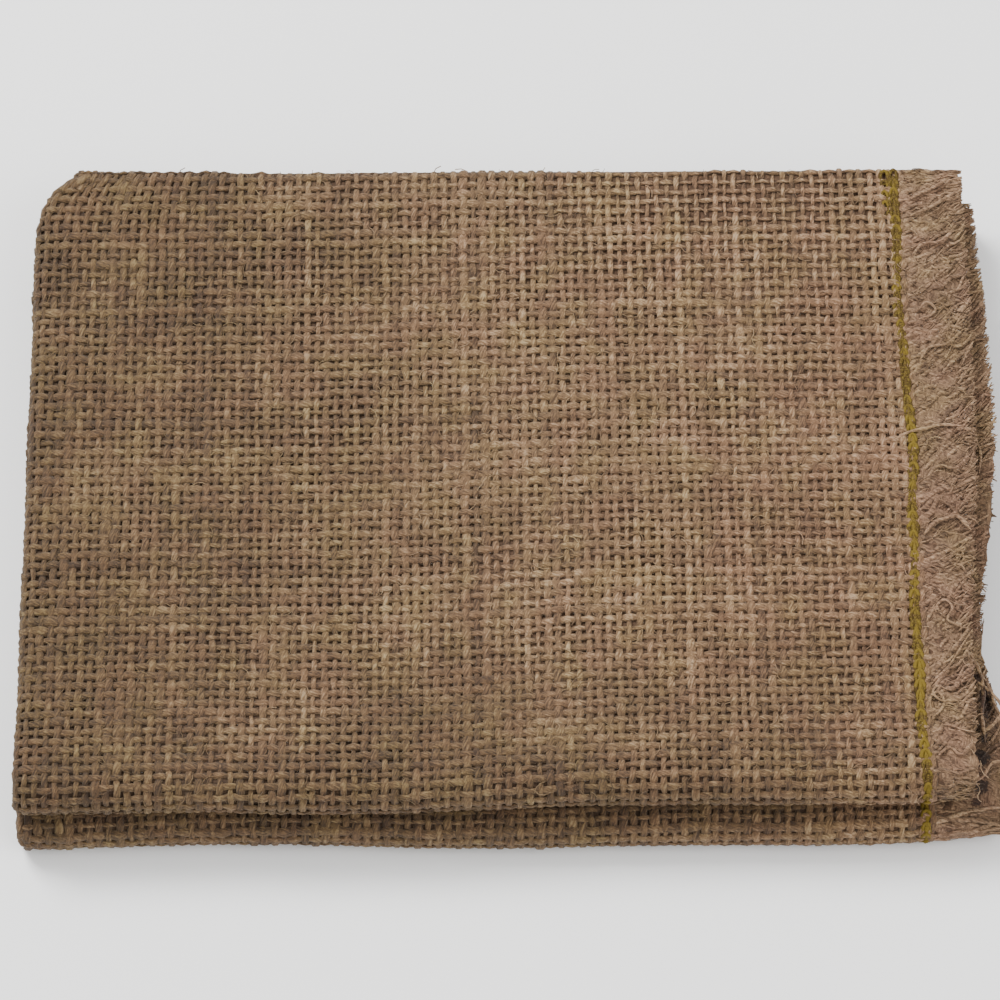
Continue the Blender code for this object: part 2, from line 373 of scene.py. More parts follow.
# Each noise has a scale, in patches a metre, and a detail. The streaks take their scale from the
# grain, and have a roughness as well.
STREAKS = (1.0, 3.0, 0.62)
MATTED = (330.0, 1.0)
FLUFF = (1700.0, 1.0)
PATCHES = (48.0, 2.0)
FLECKS = (800.0, 2.0)
SHADE_EDGE = (24.0, 2.0)
CAST_PATCHES = (95.0, 1.0)
GAP_EDGE = (900.0, 1.0)
CROSSING_ANGLE = 1.25
# How much the fibres, the fluff and the patches change the tone.
TONE_SWINGS = (0.62, 0.18, 0.11)
# No light gets into the gaps beside the top flap at its front corner, which go down on a slant to
# the back. Each has an x, a y, a half width and a half depth.
GAPS = (
    (127.5, -70.5, 1.8, 5.8),
    (125.7, -86.6, 2.6, 2.6),
    (125.0, -95.3, 2.6, 2.3),
    (125.3, -62.6, 1.6, 1.6),
    (126.6, -81.0, 0.9, 1.8),
    (123.8, -100.0, 1.6, 1.5),
)
DEEP = (0.20, 0.13, 0.09, 1.0)
SLANT = math.tan(CAMERA_TILT)
TOP_FACE = 24.3        # height of the top panel's upper face ...
TOP_FLAP = 18.6        # ... and of its underside
GAPS_END = 19.4        # the gaps have lightened out at this height
print("colours set, with", len(GAPS), "deep gaps")


# %% Streaks, gaps and stains
def fibre_streaks(tree, source, angle):
    """A noise stretched along the yarn, its streaks turned by an angle from the yarn's line."""
    inputs = {"Vector": source["Place"], "Angle": angle}
    turned = add(tree, "ShaderNodeVectorRotate", inputs, rotation_type="Z_AXIS")
    return noise(tree, vector_maths(tree, "MULTIPLY", turned, source["Grain"]), *STREAKS)


def deep_gaps(tree, spot):
    """1 in the gaps beside the top flap, below it, and 0 elsewhere."""
    split = add(tree, "ShaderNodeSeparateXYZ", {0: spot}).outputs
    sunk = maths(tree, "SUBTRACT", TOP_FACE * MM, split["Z"])
    north = maths(tree, "SUBTRACT", split["Y"], maths(tree, "MULTIPLY", sunk, SLANT))
    seen = add(tree, "ShaderNodeCombineXYZ", {"X": split["X"], "Y": north})
    ragged = swing(tree, noise(tree, spot, *GAP_EDGE), 0.3)
    total = 0.0
    for x, y, wide, deep in GAPS:
        middle = ((x + TO_ORIGIN[0]) * MM, (y + TO_ORIGIN[1]) * MM, 0.0)
        away = vector_maths(tree, "SUBTRACT", seen, middle)
        away = vector_maths(tree, "MULTIPLY", away, (1 / (wide * MM), 1 / (deep * MM), 0.0))
        length = add(tree, "ShaderNodeVectorMath", {0: away}, operation="LENGTH")
        inside = remap(tree, maths(tree, "ADD", length, ragged), 0.75, 1.05, 1.0, 0.0)
        total = maths(tree, "MAXIMUM", inside, total)
    below = remap(tree, split["Z"], TOP_FLAP * MM, GAPS_END * MM, 1.0, 0.0)
    return maths(tree, "MULTIPLY", total, below)


def painted_shade_and_casts(tree, spot, colour):
    """The cloth's colour with a painted shade on the left and in front, the casts of its fibres and the
    rosy seam.
    """
    split = add(tree, "ShaderNodeSeparateXYZ", {0: spot}).outputs
    edge = swing(tree, noise(tree, spot, *SHADE_EDGE), 0.03)
    east = maths(tree, "ADD", split["X"], edge)
    north = maths(tree, "ADD", split["Y"], edge)
    # Painted shade: darker on the left and in front, fading out towards the right.
    left = remap(tree, east, -0.115, 0.015, 1.0, 0.0)
    front = remap(tree, north, -0.088, -0.03, 0.9, 0.0)
    shaded_share = maths(tree, "MAXIMUM", left, front)
    shaded_share = maths(tree, "MULTIPLY", shaded_share, remap(tree, east, 0.06, 0.13, 1.0, 0.1))
    colour = mix(tree, shaded_share, colour, SHADE_TINT, "MULTIPLY")
    colour = mix(tree, remap(tree, east, 0.02, 0.11), colour, ROSY, "MULTIPLY")
    cast = noise(tree, spot, *CAST_PATCHES)
    for low, high, by in CASTS:
        colour = mix(tree, remap(tree, cast, low, high), colour, by, "MULTIPLY")
    return colour


# %% The shared jute effect
def jute_effect():
    tree, source = new_tree("jute fibres", "ShaderNodeTree", (
        ("Place", "Vector"),
        ("Grain", "Vector", (300.0, 3000.0, 3000.0)),
        ("Twist", "Float", 0.0),
        ("Matting", "Float", 0.0),
        ("Tone", "Float", 0.5),
        ("Dark", "Color", (0.10, 0.06, 0.03, 1.0)),
        ("Straw", "Color", (0.40, 0.28, 0.17, 1.0)),
    ), (("Colour", "Color"), ("Height", "Float"), ("Rough", "Float")))
    spot = source["Place"]
    lying = fibre_streaks(tree, source, source["Twist"])
    crossed = fibre_streaks(tree, source, maths(tree, "ADD", source["Twist"], CROSSING_ANGLE))
    where = remap(tree, noise(tree, spot, *MATTED), 0.45, 0.55)
    share = maths(tree, "MULTIPLY", where, source["Matting"])
    more = maths(tree, "MULTIPLY", maths(tree, "SUBTRACT", crossed, lying), share)
    fibres = maths(tree, "ADD", lying, more)
    fluff = noise(tree, spot, *FLUFF)

    tone = source["Tone"]
    for field, amount in zip((fibres, fluff, noise(tree, spot, *PATCHES)), TONE_SWINGS):
        tone = maths(tree, "ADD", tone, swing(tree, field, amount))
    colour = mix(tree, remap(tree, tone, 0.0, 1.0), source["Dark"], source["Straw"])
    colour = mix(tree, remap(tree, tone, 0.85, 1.5, 0.0, 0.85), colour, HIGHLIGHT)
    colour = painted_shade_and_casts(tree, spot, colour)
    flecks = remap(tree, noise(tree, spot, *FLECKS), 0.66, 0.74)
    colour = mix(tree, maths(tree, "MULTIPLY", flecks, 0.7), colour, BARK)
    colour = mix(tree, deep_gaps(tree, spot), colour, DEEP, "MULTIPLY")
    add(tree, "NodeGroupOutput", {
        "Colour": colour,
        "Height": maths(tree, "ADD", fibres, maths(tree, "MULTIPLY", fluff, 0.35)),
        "Rough": remap(tree, fibres, 0.2, 0.8, 1.0, 0.78),
    })
    return tree


jute_fibres = jute_effect()
print("jute effect:", len(jute_fibres.nodes), "nodes")


# %% Jute materials
JUTE_SHEEN = {"Sheen Weight": 0.08, "Sheen Tint": (0.9, 0.75, 0.55, 1.0), "Sheen Roughness": 0.6}
JUTE_BUMP = (0.9, 0.0007)      # strength, and depth in metres


def attribute(tree, name):
    return add(tree, "ShaderNodeAttribute", attribute_name=name).outputs["Fac"]


def relief(tree, height, strength, distance):
    return add(tree, "ShaderNodeBump", {"Height": height, "Strength": strength, "Distance": distance})


def jute_material(name, grain, dark, straw, twist=0.0, matting=0.0):
    """Jute with its fibres stretched along the yarn: a small grain number is a long streak."""
    material, tree, shader = new_material(name)
    fibres = add(tree, "ShaderNodeGroup", {
        "Place": add(tree, "ShaderNodeTexCoord").outputs["Object"],
        "Tone": attribute(tree, "tone"),
        "Grain": grain,
        "Twist": twist,
        "Matting": matting,
        "Dark": (*dark, 1.0),
        "Straw": (*straw, 1.0),
    }, node_tree=jute_fibres).outputs
    fill(tree, shader, {
        "Base Color": fibres["Colour"],
        "Roughness": fibres["Rough"],
        "Normal": relief(tree, fibres["Height"], *JUTE_BUMP),
        **JUTE_SHEEN,
    })
    return material


YARN_DARK = (0.045, 0.021, 0.0075)
YARN_STRAW = (0.205, 0.118, 0.053)
TWIST = 0.38
weft_jute = jute_material("jute across", (330.0, 2300.0, 2300.0), YARN_DARK, YARN_STRAW, TWIST)
warp_jute = jute_material("jute along", (2300.0, 330.0, 330.0), YARN_DARK, YARN_STRAW, TWIST)
# Painted shade: the sheet under the yarns is coloured darker than they are, so that the holes of the
# weave look dark.
shaded_inner_jute = jute_material(
    "jute in painted shade", (900.0, 900.0, 900.0), (0.052, 0.024, 0.009), (0.135, 0.070, 0.028))
loose_jute = jute_material(
    "jute frayed", (420.0, 1700.0, 1700.0), (0.058, 0.029, 0.012), (0.255, 0.158, 0.083), 0.5)
felted_jute = jute_material(
    "jute matted", (420.0, 2000.0, 2000.0), (0.060, 0.030, 0.013), (0.240, 0.148, 0.078), 0.45, 1.0)
hair_jute = jute_material(
    "jute hairs", (800.0, 800.0, 800.0), (0.085, 0.046, 0.020), (0.27, 0.175, 0.095))
jutes = (weft_jute, warp_jute, shaded_inner_jute, loose_jute, felted_jute, hair_jute)
print("materials:", [material.name for material in jutes])

# %% [markdown]
# ## The cloth itself
# A sheet has two faces and a thickness, and this one lies in sixteen layers. It could be draped by a
# simulation, but a sack that has been pressed flat and folded by hand is better drawn: one section
# of its layers, swept along the four panels and round the three rolls. It is made a little thinner
# than the solid, because the yarns that are laid on it next bring its outer face up to size.

# %% Section and sweep
SUNK = 0.7            # how far the sheet's outer faces lie below the yarns' crowns
FOLD_STEPS = 7
ROLL_STEPS = 10
ACROSS_STEPS = 16
ALONG_STEPS = 18
SHARP_SHEET = 50       # degrees


def half_turn(middle, radius):
    angles = [math.pi * i / FOLD_STEPS for i in range(1, FOLD_STEPS)]
    return [(middle - radius * math.sin(a), radius * math.cos(a)) for a in angles]


def half_section(left, seam, ends, distance):
    """One face of the doubled cloth: in along n = distance, round the left fold and out again."""
    middle = left + OUTER
    steps = [smooth(i / ACROSS_STEPS) for i in range(1, ACROSS_STEPS)]
    across = ends + [seam] + [seam - (seam - middle) * t for t in steps] + [middle]
    upper = [(x, distance) for x in across]
    lower = [(x, -distance) for x in reversed(across)]
    return upper + half_turn(middle, distance) + lower


def stations(counts, roll_count, spacing=float):
    """Places along the sack: a panel and along, for each panel's own count of steps."""
    places = []
    for panel, count in enumerate(counts):
        places += [(panel, float(spacing(i / count))) for i in range(count + 1)]
        if panel < PANELS - 1:
            places += [(panel, 1.0 + i / roll_count) for i in range(1, roll_count)]
    return places


def add_loop(bm, section, panel, along):
    x, n = np.array(section).T
    return [bm.verts.new(point) for point in to_metres(place(x, n, panel, along))]


def bridge(bm, first, second):
    for i, a in enumerate(first):
        j = (i + 1) % len(first)
        bm.faces.new((a, first[j], second[j], second[i]))


def fill_between(bm, one, other):
    for i in range(len(one) - 1):
        bm.faces.new((one[i], one[i + 1], other[i + 1], other[i]))


def mesh_from(bm, name, sharp):
    """Turn a bmesh into a mesh with its faces outwards, smooth but for its sharp edges."""
    bmesh.ops.recalc_face_normals(bm, faces=bm.faces[:])
    mesh = bpy.data.meshes.new(name)
    bm.to_mesh(mesh)
    bm.free()
    mesh.shade_smooth()
    mesh.set_sharp_from_angle(angle=math.radians(sharp))
    return mesh


def finish_piece(piece, node=None):
    """Let a finished piece ride on the sack's one body."""
    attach(piece, "root")
    if node:
        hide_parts(node)
    piece.data.calc_loop_triangles()
    print(piece.name, len(piece.data.loop_triangles), "triangles")
    return piece


def new_piece(name, mesh, material, node=None):
    mesh.materials.append(material)
    return finish_piece(put_in_scene(bpy.data.objects.new(name, mesh)), node)


# %% Sweep the sheet
def sweep_sheet():
    bm = bmesh.new()
    shells = []
    spaces = []
    for index, (panel, along) in enumerate(stations(PANELS * [ALONG_STEPS], ROLL_STEPS, smooth)):
        left = left_fold(panel, along)
        seam = seam_at(y_at(panel, along))
        edge = [seam + ALLOWANCE]
        between = half_section(left, seam, edge, INNER)
        shell = half_section(left, seam, edge, OUTER - SUNK) + between[::-1]
        inner_wall = half_section(left, seam, [], INNER + CLOTH)
        space = half_section(left, seam, [], OUTER - CLOTH) + inner_wall[::-1]
        shells.append(add_loop(bm, shell, panel, along))
        start = CLOTH / PANEL_LENGTH if index == 0 else along
        spaces.append(add_loop(bm, space, panel, start))
    for one, two in zip(shells, shells[1:]):
        bridge(bm, two, one)
    for one, two in zip(spaces, spaces[1:]):
        bridge(bm, one, two)
    half = len(shells[0]) // 2
    part = len(spaces[0]) // 2
    fill_between(bm, shells[0][:half], shells[0][half:][::-1])
    fill_between(bm, spaces[0][part:][::-1], spaces[0][:part])
    shell = shells[-1]
    space = spaces[-1]
    fill_between(bm, space[:part], shell[1:half - 1])
    fill_between(bm, space[part:], shell[half + 1:-1])
    # What is left open at the mouth, beside the seam, on each half.
    upper = (shell[0], shell[-1], shell[-2], space[-1], space[0], shell[1])
    lower = (shell[half - 1], shell[half - 2], space[part - 1])
    lower += (space[part], shell[half + 1], shell[half])
    for corners in (upper, lower):
        for second, third in zip(corners[1:], corners[2:]):
            bm.faces.new((corners[0], second, third))
    return mesh_from(bm, "sack_sheet", SHARP_SHEET)


# Its darker jute is painted shade for the holes of the weave.
sheet = new_piece("sack_sheet", sweep_sheet(), shaded_inner_jute, "sack_cloth")

# %% [markdown]
# ## How a yarn is spun
# Every yarn below starts as a bare line of points. A Geometry Nodes tree turns the line into a tube,
# takes each point's width from the line, and presses the tube flat towards the cloth, because a
# woven yarn is wider than it is thick. One tree serves the weave, the fringe and the loose ends.


# %% Helpers for Geometry Nodes
GEOMETRY = ("Geometry", "Geometry")
MATERIAL = ("Material", "Material")
TONE_SEED = 3.0        # what a tree adds to its seed for the tones of its copies


def read(tree, name, kind="FLOAT"):
    return add(tree, "GeometryNodeInputNamedAttribute", {"Name": name}, data_type=kind)


def keep(tree, geometry, name, value, kind="FLOAT", domain="POINT"):
    """Store a value on the geometry as a named attribute."""
    inputs = {"Geometry": geometry, "Name": name, "Value": value}
    return add(tree, "GeometryNodeStoreNamedAttribute", inputs, data_type=kind, domain=domain)


def chance(tree, seed, low, high):
    """A random number between two others, for each point or copy."""
    inputs = {"Min": low, "Max": high, "Seed": seed}
    return add(tree, "FunctionNodeRandomValue", inputs, data_type="FLOAT")


def uneven(tree, source):
    """A random factor about 1, as far from it as the tree's Unevenness."""
    low = maths(tree, "SUBTRACT", 1.0, source["Unevenness"])
    high = maths(tree, "ADD", 1.0, source["Unevenness"])
    return chance(tree, source["Seed"], low, high)


def ring(tree, resolution, radius):
    inputs = {"Resolution": resolution, "Radius": radius}
    return add(tree, "GeometryNodeCurvePrimitiveCircle", inputs)


def tube(tree, curve, profile, caps=False, **more):
    inputs = {"Curve": curve, "Profile Curve": profile, "Fill Caps": caps, **more}
    return add(tree, "GeometryNodeCurveToMesh", inputs)


def copies(tree, points, shape, turn, size, seed):
    """The shape at each point, turned and sized, each copy with a tone of its own."""
    inputs = {"Points": points, "Instance": shape, "Rotation": turn, "Scale": size}
    placed = add(tree, "GeometryNodeInstanceOnPoints", inputs)
    tone = chance(tree, maths(tree, "ADD", seed, TONE_SEED), 0.0, 1.0)
    return keep(tree, placed, "tone", tone, domain="INSTANCE")


def finish_tree(tree, source, geometry):
    """The end of every tree: smooth shading, real geometry instead of copies, and the material."""
    soft = add(tree, "GeometryNodeSetShadeSmooth", {"Geometry": geometry})
    solid = add(tree, "GeometryNodeRealizeInstances", {"Geometry": soft})
    coat = add(tree, "GeometryNodeSetMaterial", {"Geometry": solid, "Material": source["Material"]})
    add(tree, "NodeGroupOutput", {"Geometry": coat})
    print(tree.name, "tree:", len(tree.nodes), "nodes")
    return tree


# %% The yarn tree
def yarn_tree():
    tree, source = new_tree("spun yarn", "GeometryNodeTree", (
        GEOMETRY,
        ("Sides", "Int", 6),
        ("Thickness", "Float", 0.6),
        ("Unevenness", "Float", 0.08),
        ("Seed", "Int", 1),
        MATERIAL,
    ), (GEOMETRY,))
    line = add(tree, "GeometryNodeMeshToCurve", {"Mesh": source["Geometry"]})
    here = add(tree, "GeometryNodeInputPosition")
    line = keep(tree, line, "centre", here, "FLOAT_VECTOR")
    width = maths(tree, "MULTIPLY", read(tree, "half_width"), uneven(tree, source))
    round_tube = tube(tree, line, ring(tree, source["Sides"], 1.0), True, Scale=width)

    # Each point of the tube moves towards the yarn's middle along the outward direction.
    out = read(tree, "out", "FLOAT_VECTOR")
    spoke = vector_maths(tree, "SUBTRACT", here, read(tree, "centre", "FLOAT_VECTOR"))
    rise = vector_maths(tree, "DOT_PRODUCT", spoke, out)
    press = maths(tree, "MULTIPLY", rise, maths(tree, "SUBTRACT", source["Thickness"], 1.0))
    push = add(tree, "ShaderNodeVectorMath", {0: out, "Scale": press}, operation="SCALE")
    yarn = add(tree, "GeometryNodeSetPosition", {"Geometry": round_tube, "Offset": push})
    for name in ("centre", "out", "half_width"):
        yarn = add(tree, "GeometryNodeRemoveAttribute", {"Geometry": yarn, "Name": name})
    return finish_tree(tree, source, yarn)


spun_yarn = yarn_tree()


# %% From lines to a plain mesh
GROUND = 0.02 * MM     # yarns that lie on the floor are pressed flat just above it


def line_mesh(name, lines):
    """One mesh of bare lines. A line is its points in mm, outward directions, half widths and tones."""
    points, out, half, tone = (np.concatenate(column) for column in zip(*lines))
    mesh = bpy.data.meshes.new(name)
    mesh.vertices.add(len(points))
    mesh.vertices.foreach_set("co", to_metres(points).ravel())
    ends = np.cumsum([len(line[0]) for line in lines]) - 1
    starts = np.delete(np.arange(len(points)), ends)
    mesh.edges.add(len(starts))
    mesh.edges.foreach_set("vertices", np.stack((starts, starts + 1), axis=1).ravel())
    for title, kind, field, values in (
        ("out", "FLOAT_VECTOR", "vector", out),
        ("half_width", "FLOAT", "value", half * MM),
        ("tone", "FLOAT", "value", tone),
    ):
        mesh.attributes.new(title, kind, "POINT").data.foreach_set(field, values.ravel())
    return mesh


def mesh_points(mesh):
    points = np.empty(len(mesh.vertices) * 3)
    mesh.vertices.foreach_get("co", points)
    return points


def grow(name, mesh, tree, material, seed, sizes):
    """Run a tree over a mesh and keep what it makes as a plain mesh."""
    piece = put_in_scene(bpy.data.objects.new(name, mesh))
    modifier = piece.modifiers.new(tree.name, "NODES")
    modifier.node_group = tree
    settings = {"Material": material, "Seed": seed, **sizes}
    for item in tree.interface.items_tree:
        if item.in_out == "INPUT" and item.name in settings:
            modifier[item.identifier] = settings[item.name]
    evaluated = piece.evaluated_get(bpy.context.evaluated_depsgraph_get())
    made = bpy.data.meshes.new_from_object(evaluated)
    points = mesh_points(made)
    points[2::3] = np.maximum(points[2::3], GROUND)
    made.vertices.foreach_set("co", points)
    made.update()
    piece.modifiers.clear()
    piece.data = made
    bpy.data.meshes.remove(mesh)
    made.name = name
    return piece


def yarn_piece(name, lines, material, seed, sides, thickness, unevenness):
    """Lines spun into yarns, as one object."""
    sizes = {"Sides": sides, "Thickness": thickness, "Unevenness": unevenness}
    return grow(name, line_mesh(name, lines), spun_yarn, material, seed, sizes)


# %% [markdown]
# ## The weave
# Burlap is a plain weave: each crosswise yarn, the weft, goes over one lengthwise yarn, the warp,
# and under the next. The crossings form a grid that is never quite even, so the grid comes first:
# every row and every column wanders a little, and where the real cloth has a pulled place the
# crossings stand apart. Both sets of yarns then pass through the same crossings, one above and one
# below, which keeps them clear of each other.

# %% The grid of crossings
WARP_BACK = 101.7      # x of a warp yarn near the seam at the back edge ...
WARP_FRONT = 104.2     # ... and at the front
COLUMNS = 85           # warp yarns from that one to the left fold
TURN = 3               # warp yarns round the left fold
PITCH = 2.69
ROWS = 65              # weft yarns on a panel ...
SPREAD = 0.055         # ... a little further apart where it begins than where it ends
ROLL_ROWS = 6          # and round a roll
END_ROWS = 2           # and past the closed end, where the cloth turns under
LEVEL = OUTER - 0.35   # the middle of the outer wall's yarns
PRESSED = 0.4          # how much nearer to the cloth the yarns lie on the ground ...
FLATTER = 0.4          # ... and what share of their waves is gone there
END_RADIUS = 0.85      # of the cloth's turn at the closed end ...
END_IN = 0.9           # ... which begins this far inside the edge
SKEW = 0.011           # the rows' slant against the closed end
DRIFT_WAVES = (7.0, 17.0, 45.0)

print("the columns are", PITCH, "mm apart, the rows", round(PANEL_LENGTH / ROWS, 2))

# %% Pulled and close places
PULL_DEPTH = 2.2
PULL_EDGE = 0.8
# Places where the crossings are pulled apart: x, y, half length, opening.
PULLS = (
    (-108.5, 60.7, 3.2, 0.75),
    (-109.2, -61.7, 1.8, 0.6),
    (-95.4, -78.8, 2.0, 0.6),
    (-31.1, -92.0, 2.6, 0.7),
    (104.1, 93.1, 1.4, 0.9),
    (-46.0, 21.0, 2.0, 0.5),
    (38.0, -44.0, 1.6, 0.5),
    (62.0, 47.0, 2.2, 0.45),
    (-120.5, 42.0, 2.6, 0.45),
    (-113.7, 49.0, 4.0, 0.4),
    (-46.0, 71.0, 1.8, 0.5),
    (6.5, 90.5, 1.4, 0.7),
    (-13.0, -85.0, 2.4, 0.5),
)
# Places where the yarns lie close and swell into the holes, or thin out where the share is below
# zero: x, y, half width, half depth, share.
SNUG = (
    (-117.0, 21.0, 5.0, 9.0, 0.30),
    (-18.6, -76.0, 16.0, 5.0, 0.22),
    (14.0, -84.0, 14.0, 7.0, 0.20),
    (-101.0, -76.0, 6.0, 9.0, 0.24),
    (-6.0, 92.0, 12.0, 5.0, 0.22),
    (40.0, 79.0, 15.0, 5.0, 0.20),
    (-60.0, 86.0, 12.0, 5.0, 0.16),
    (88.0, 20.0, 10.0, 22.0, 0.16),
    (-40.0, -12.0, 22.0, 14.0, 0.16),
    (30.0, 10.0, 18.0, 20.0, 0.14),
    (-118.0, 6.0, 11.0, 24.0, 0.16),
    (-119.0, -40.0, 11.0, 22.0, 0.16),
    (62.0, 90.0, 50.0, 16.0, -0.34),
    (80.0, -84.0, 28.0, 10.0, -0.08),
)


def snugness(x, y):
    """How much wider than usual the yarns lie at a place of the top panel."""
    share = 0.08 * np.sin(x / 9.0 + 2.0 * np.sin(y / 15.0)) * np.sin(y / 7.0 + x / 21.0)
    for x0, y0, wide, deep, amount in SNUG:
        share = share + amount * np.exp(-((x - x0) / wide) ** 2 - ((y - y0) / deep) ** 2)
    return share


def ripple(x, y):
    """The small unevenness of a cloth that has been folded by hand."""
    waves = 0.16 * np.sin(x / 6.3 + 1.6 * np.sin(y / 21.0)) * np.sin(y / 7.9 + x / 33.0)
    waves = waves + 0.17 * np.sin(x / 13.7 - y / 18.3) * np.sin(y / 15.1 + 0.6)
    stitched = -0.5 * np.exp(-((x - stitch_at(y)) / 1.6) ** 2)
    return waves + stitched


# %% Where the outer yarns lie
def surface(g, u, lift, side):
    """Where the outer yarns lie. g runs along the sack, 2 for each panel with its roll. u counts
    warp yarns from the seam's side, past the left fold and on. side is the half of the sack."""
    g, u, lift = np.broadcast_arrays(np.asarray(g, float), u, lift)
    found = np.empty(g.shape + (3,))
    panels = np.clip(np.floor(g / 2.0), 0, PANELS - 1).astype(int)
    for panel in np.unique(panels):
        mask = panels == panel
        along = g[mask] - 2.0 * panel
        found[mask] = panel_surface(int(panel), along, u[mask], lift[mask], side)
    return found


def near_ground(panel, along):
    """1 where the yarns lie on the ground, easing to 0 round the last roll."""
    if panel == PANELS - 1:
        return 1.0 + 0.0 * along
    return smooth(along - 1.0) * (panel == PANELS - 2)


def round_fold(u, flat, middle, pitch, reach):
    """x and n of a yarn at a distance reach from the panel's middle, past the left fold and on."""
    angle = np.pi * (u - COLUMNS) / TURN
    turning = (u > COLUMNS) & (u < COLUMNS + TURN)
    x = np.where(turning, middle - reach * np.sin(angle), flat)
    x = np.where(u >= COLUMNS + TURN, middle + pitch * (u - COLUMNS - TURN), x)
    n = np.where(turning, reach * np.cos(angle), np.where(u > COLUMNS, -reach, reach))
    return x, n


def panel_surface(panel, along, u, lift, side):
    y = y_at(panel, along)
    reference = WARP_BACK + (WARP_FRONT - WARP_BACK) * (CLOSED_END - y) / PANEL_LENGTH
    middle = left_fold(panel, along) + OUTER
    pitch = (reference - middle) / COLUMNS
    flat = reference - pitch * u
    ground = near_ground(panel, along)
    lift = lift * (1.0 - FLATTER * ground) + ripple(flat, y) * (1.0 - ground)
    reach = LEVEL - PRESSED * ground + lift
    x, n = round_fold(u, flat, middle, pitch, reach)
    points = place(x, n * side, panel, along)
    past = np.clip(END_IN - along * PANEL_LENGTH, 0.0, None)
    over = (past > 0.0) & (panel == 0)
    if np.any(over):
        # The cloth turns under itself at the closed end.
        start = END_IN / PANEL_LENGTH
        x_wall, n_wall = round_fold(u, flat, middle, pitch, (OUTER + INNER) / 2)
        wall = place(x_wall, n_wall * side, 0, start)
        spoke = place(x, n * side, 0, start) - wall
        bend = np.minimum(past / END_RADIUS, np.pi)
        turned = wall + spoke * np.cos(bend)[..., None]
        turned[..., 1] += np.linalg.norm(spoke, axis=-1) * np.sin(bend) - (past - bend * END_RADIUS)
        points = np.where(over[..., None], turned, points)
    return points


print("seam's side, in metres:", to_metres(surface(0.5, 0.0, 0.0, 1)).round(4))


# %% Rows and their drift
def unit_length(g):
    """The length of cloth, in mm, that one step of g stands for."""
    return np.where((np.floor(g) % 2 == 0) | (g < 0.0), PANEL_LENGTH, ROLL_LENGTH)


def all_rows():
    """Each weft yarn's place along the sack, from the closed end to the mouth."""
    rows = [(np.arange(-END_ROWS, 0) + 0.5) / ROWS]
    even = (np.arange(ROWS) + 0.5) / ROWS
    for panel in range(PANELS):
        rows.append(2 * panel + even + SPREAD * even * (1.0 - even))
        if panel < PANELS - 1:
            rows.append(2 * panel + 1 + (np.arange(ROLL_ROWS) + 0.5) / ROLL_ROWS)
    return np.concatenate(rows)


def wander(rng, count, at, amount):
    """A slow random drift for each of count yarns, read at the places at (in mm)."""
    drift = np.zeros((count, len(at)))
    for length in DRIFT_WAVES:
        phase = rng.uniform(0, 2 * np.pi, (count, 1))
        size = rng.uniform(0.4, 1.0, (count, 1))
        wave = length * rng.uniform(0.8, 1.2, (count, 1))
        drift += size * np.sin(2 * np.pi * at[None, :] / wave + phase)
    return drift * amount / 1.6


ROW_PLACES = all_rows()
print("weft rows:", len(ROW_PLACES), "warp columns across:", COLUMNS + TURN)


# %% How yarns vary
RISE = 0.36            # how far a crown stands above the yarns' middle
RISE_SHARE = (0.7, 1.25)
WEFT_HALF = 1.05
WARP_HALF = 0.96
YARN_PRESSED = 0.52    # the height of a woven yarn against its width
YARN_UNEVEN = 0.10
PALE_WARP = 0          # one warp near the seam is thinner than the rest, and paler to the back
PALE_WIDTH = 0.8
PALE_TONES = (0.42, 0.12)
# Random spreads: of a crossing's place, and of a yarn's width and tone.
SLIDE = 0.30
DRIFT = 0.27
SHIFT = 0.10
SWELL_SPREAD = 0.09
BODY_SPREAD = 0.14
BODY_RANGE = (-0.28, 0.30)
BODY_WANDER = 0.15
TONE_SPREAD = 0.12
TONE_WANDER = 0.10
SHADE_SPREAD = 0.09
# A yarn's crowns get a painted highlight and its sunk parts a painted shade, both stronger to the back
# on the right.
CROWN_SWELL = 0.04     # a yarn is wider and paler on its crowns,
CROWN_HIGHLIGHT = 0.26      # and paler still to the back on the right
BACK_RIGHT_LIGHT = 0.2
# A slub is a stretch where the spinner let too many fibres through: how often, how much, how long.
SLUBS = 0.45
SLUB_SWELL = (0.15, 0.4)
SLUB_LENGTH = (4.0, 14.0)


def crossings(first_g, last_g, columns, side, rng):
    """Each crossing's place along (g) and across (u), wandering, for a run of rows."""
    index = np.nonzero((ROW_PLACES >= first_g) & (ROW_PLACES <= last_g))[0]
    rows = ROW_PLACES[index]
    along_mm = np.cumsum(np.concatenate(([0.0], np.diff(rows) * unit_length(rows[:-1]))))
    across_mm = columns * PITCH
    slide = wander(rng, len(rows), across_mm, SLIDE) - SKEW * (WARP_BACK - across_mm)[None, :]
    drift = wander(rng, len(columns), along_mm, DRIFT).T
    slide = slide + rng.normal(0.0, SHIFT, slide.shape)
    drift = drift + rng.normal(0.0, SHIFT, drift.shape)
    if side > 0 and first_g < 1.0:
        x = WARP_BACK - across_mm[None, :] + 0.0 * slide
        y = CLOSED_END - rows[:, None] * PANEL_LENGTH + 0.0 * slide
        for x0, y0, half, opening in PULLS:
            near = np.exp(-((x - x0) / half) ** 2 - ((y - y0) / PULL_DEPTH) ** 2) * opening
            slide = slide - near * np.tanh((y - y0) / PULL_EDGE)
            drift = drift + 0.5 * near * np.tanh((x - x0) / PULL_EDGE)
    g = rows[:, None] + slide / unit_length(rows)[:, None]
    u = columns[None, :] - drift / PITCH
    return index, g, u


def half_steps(grid):
    """Add a point half way between each two of a grid's columns."""
    fine = np.empty((grid.shape[0], 2 * grid.shape[1] - 1))
    fine[:, 0::2] = grid
    fine[:, 1::2] = (grid[:, 1:] + grid[:, :-1]) / 2
    return fine


def unit(vectors):
    return vectors / np.maximum(np.linalg.norm(vectors, axis=-1, keepdims=True), 1e-6)


print("a weft is", 2 * WEFT_HALF, "mm wide, a warp", 2 * WARP_HALF)


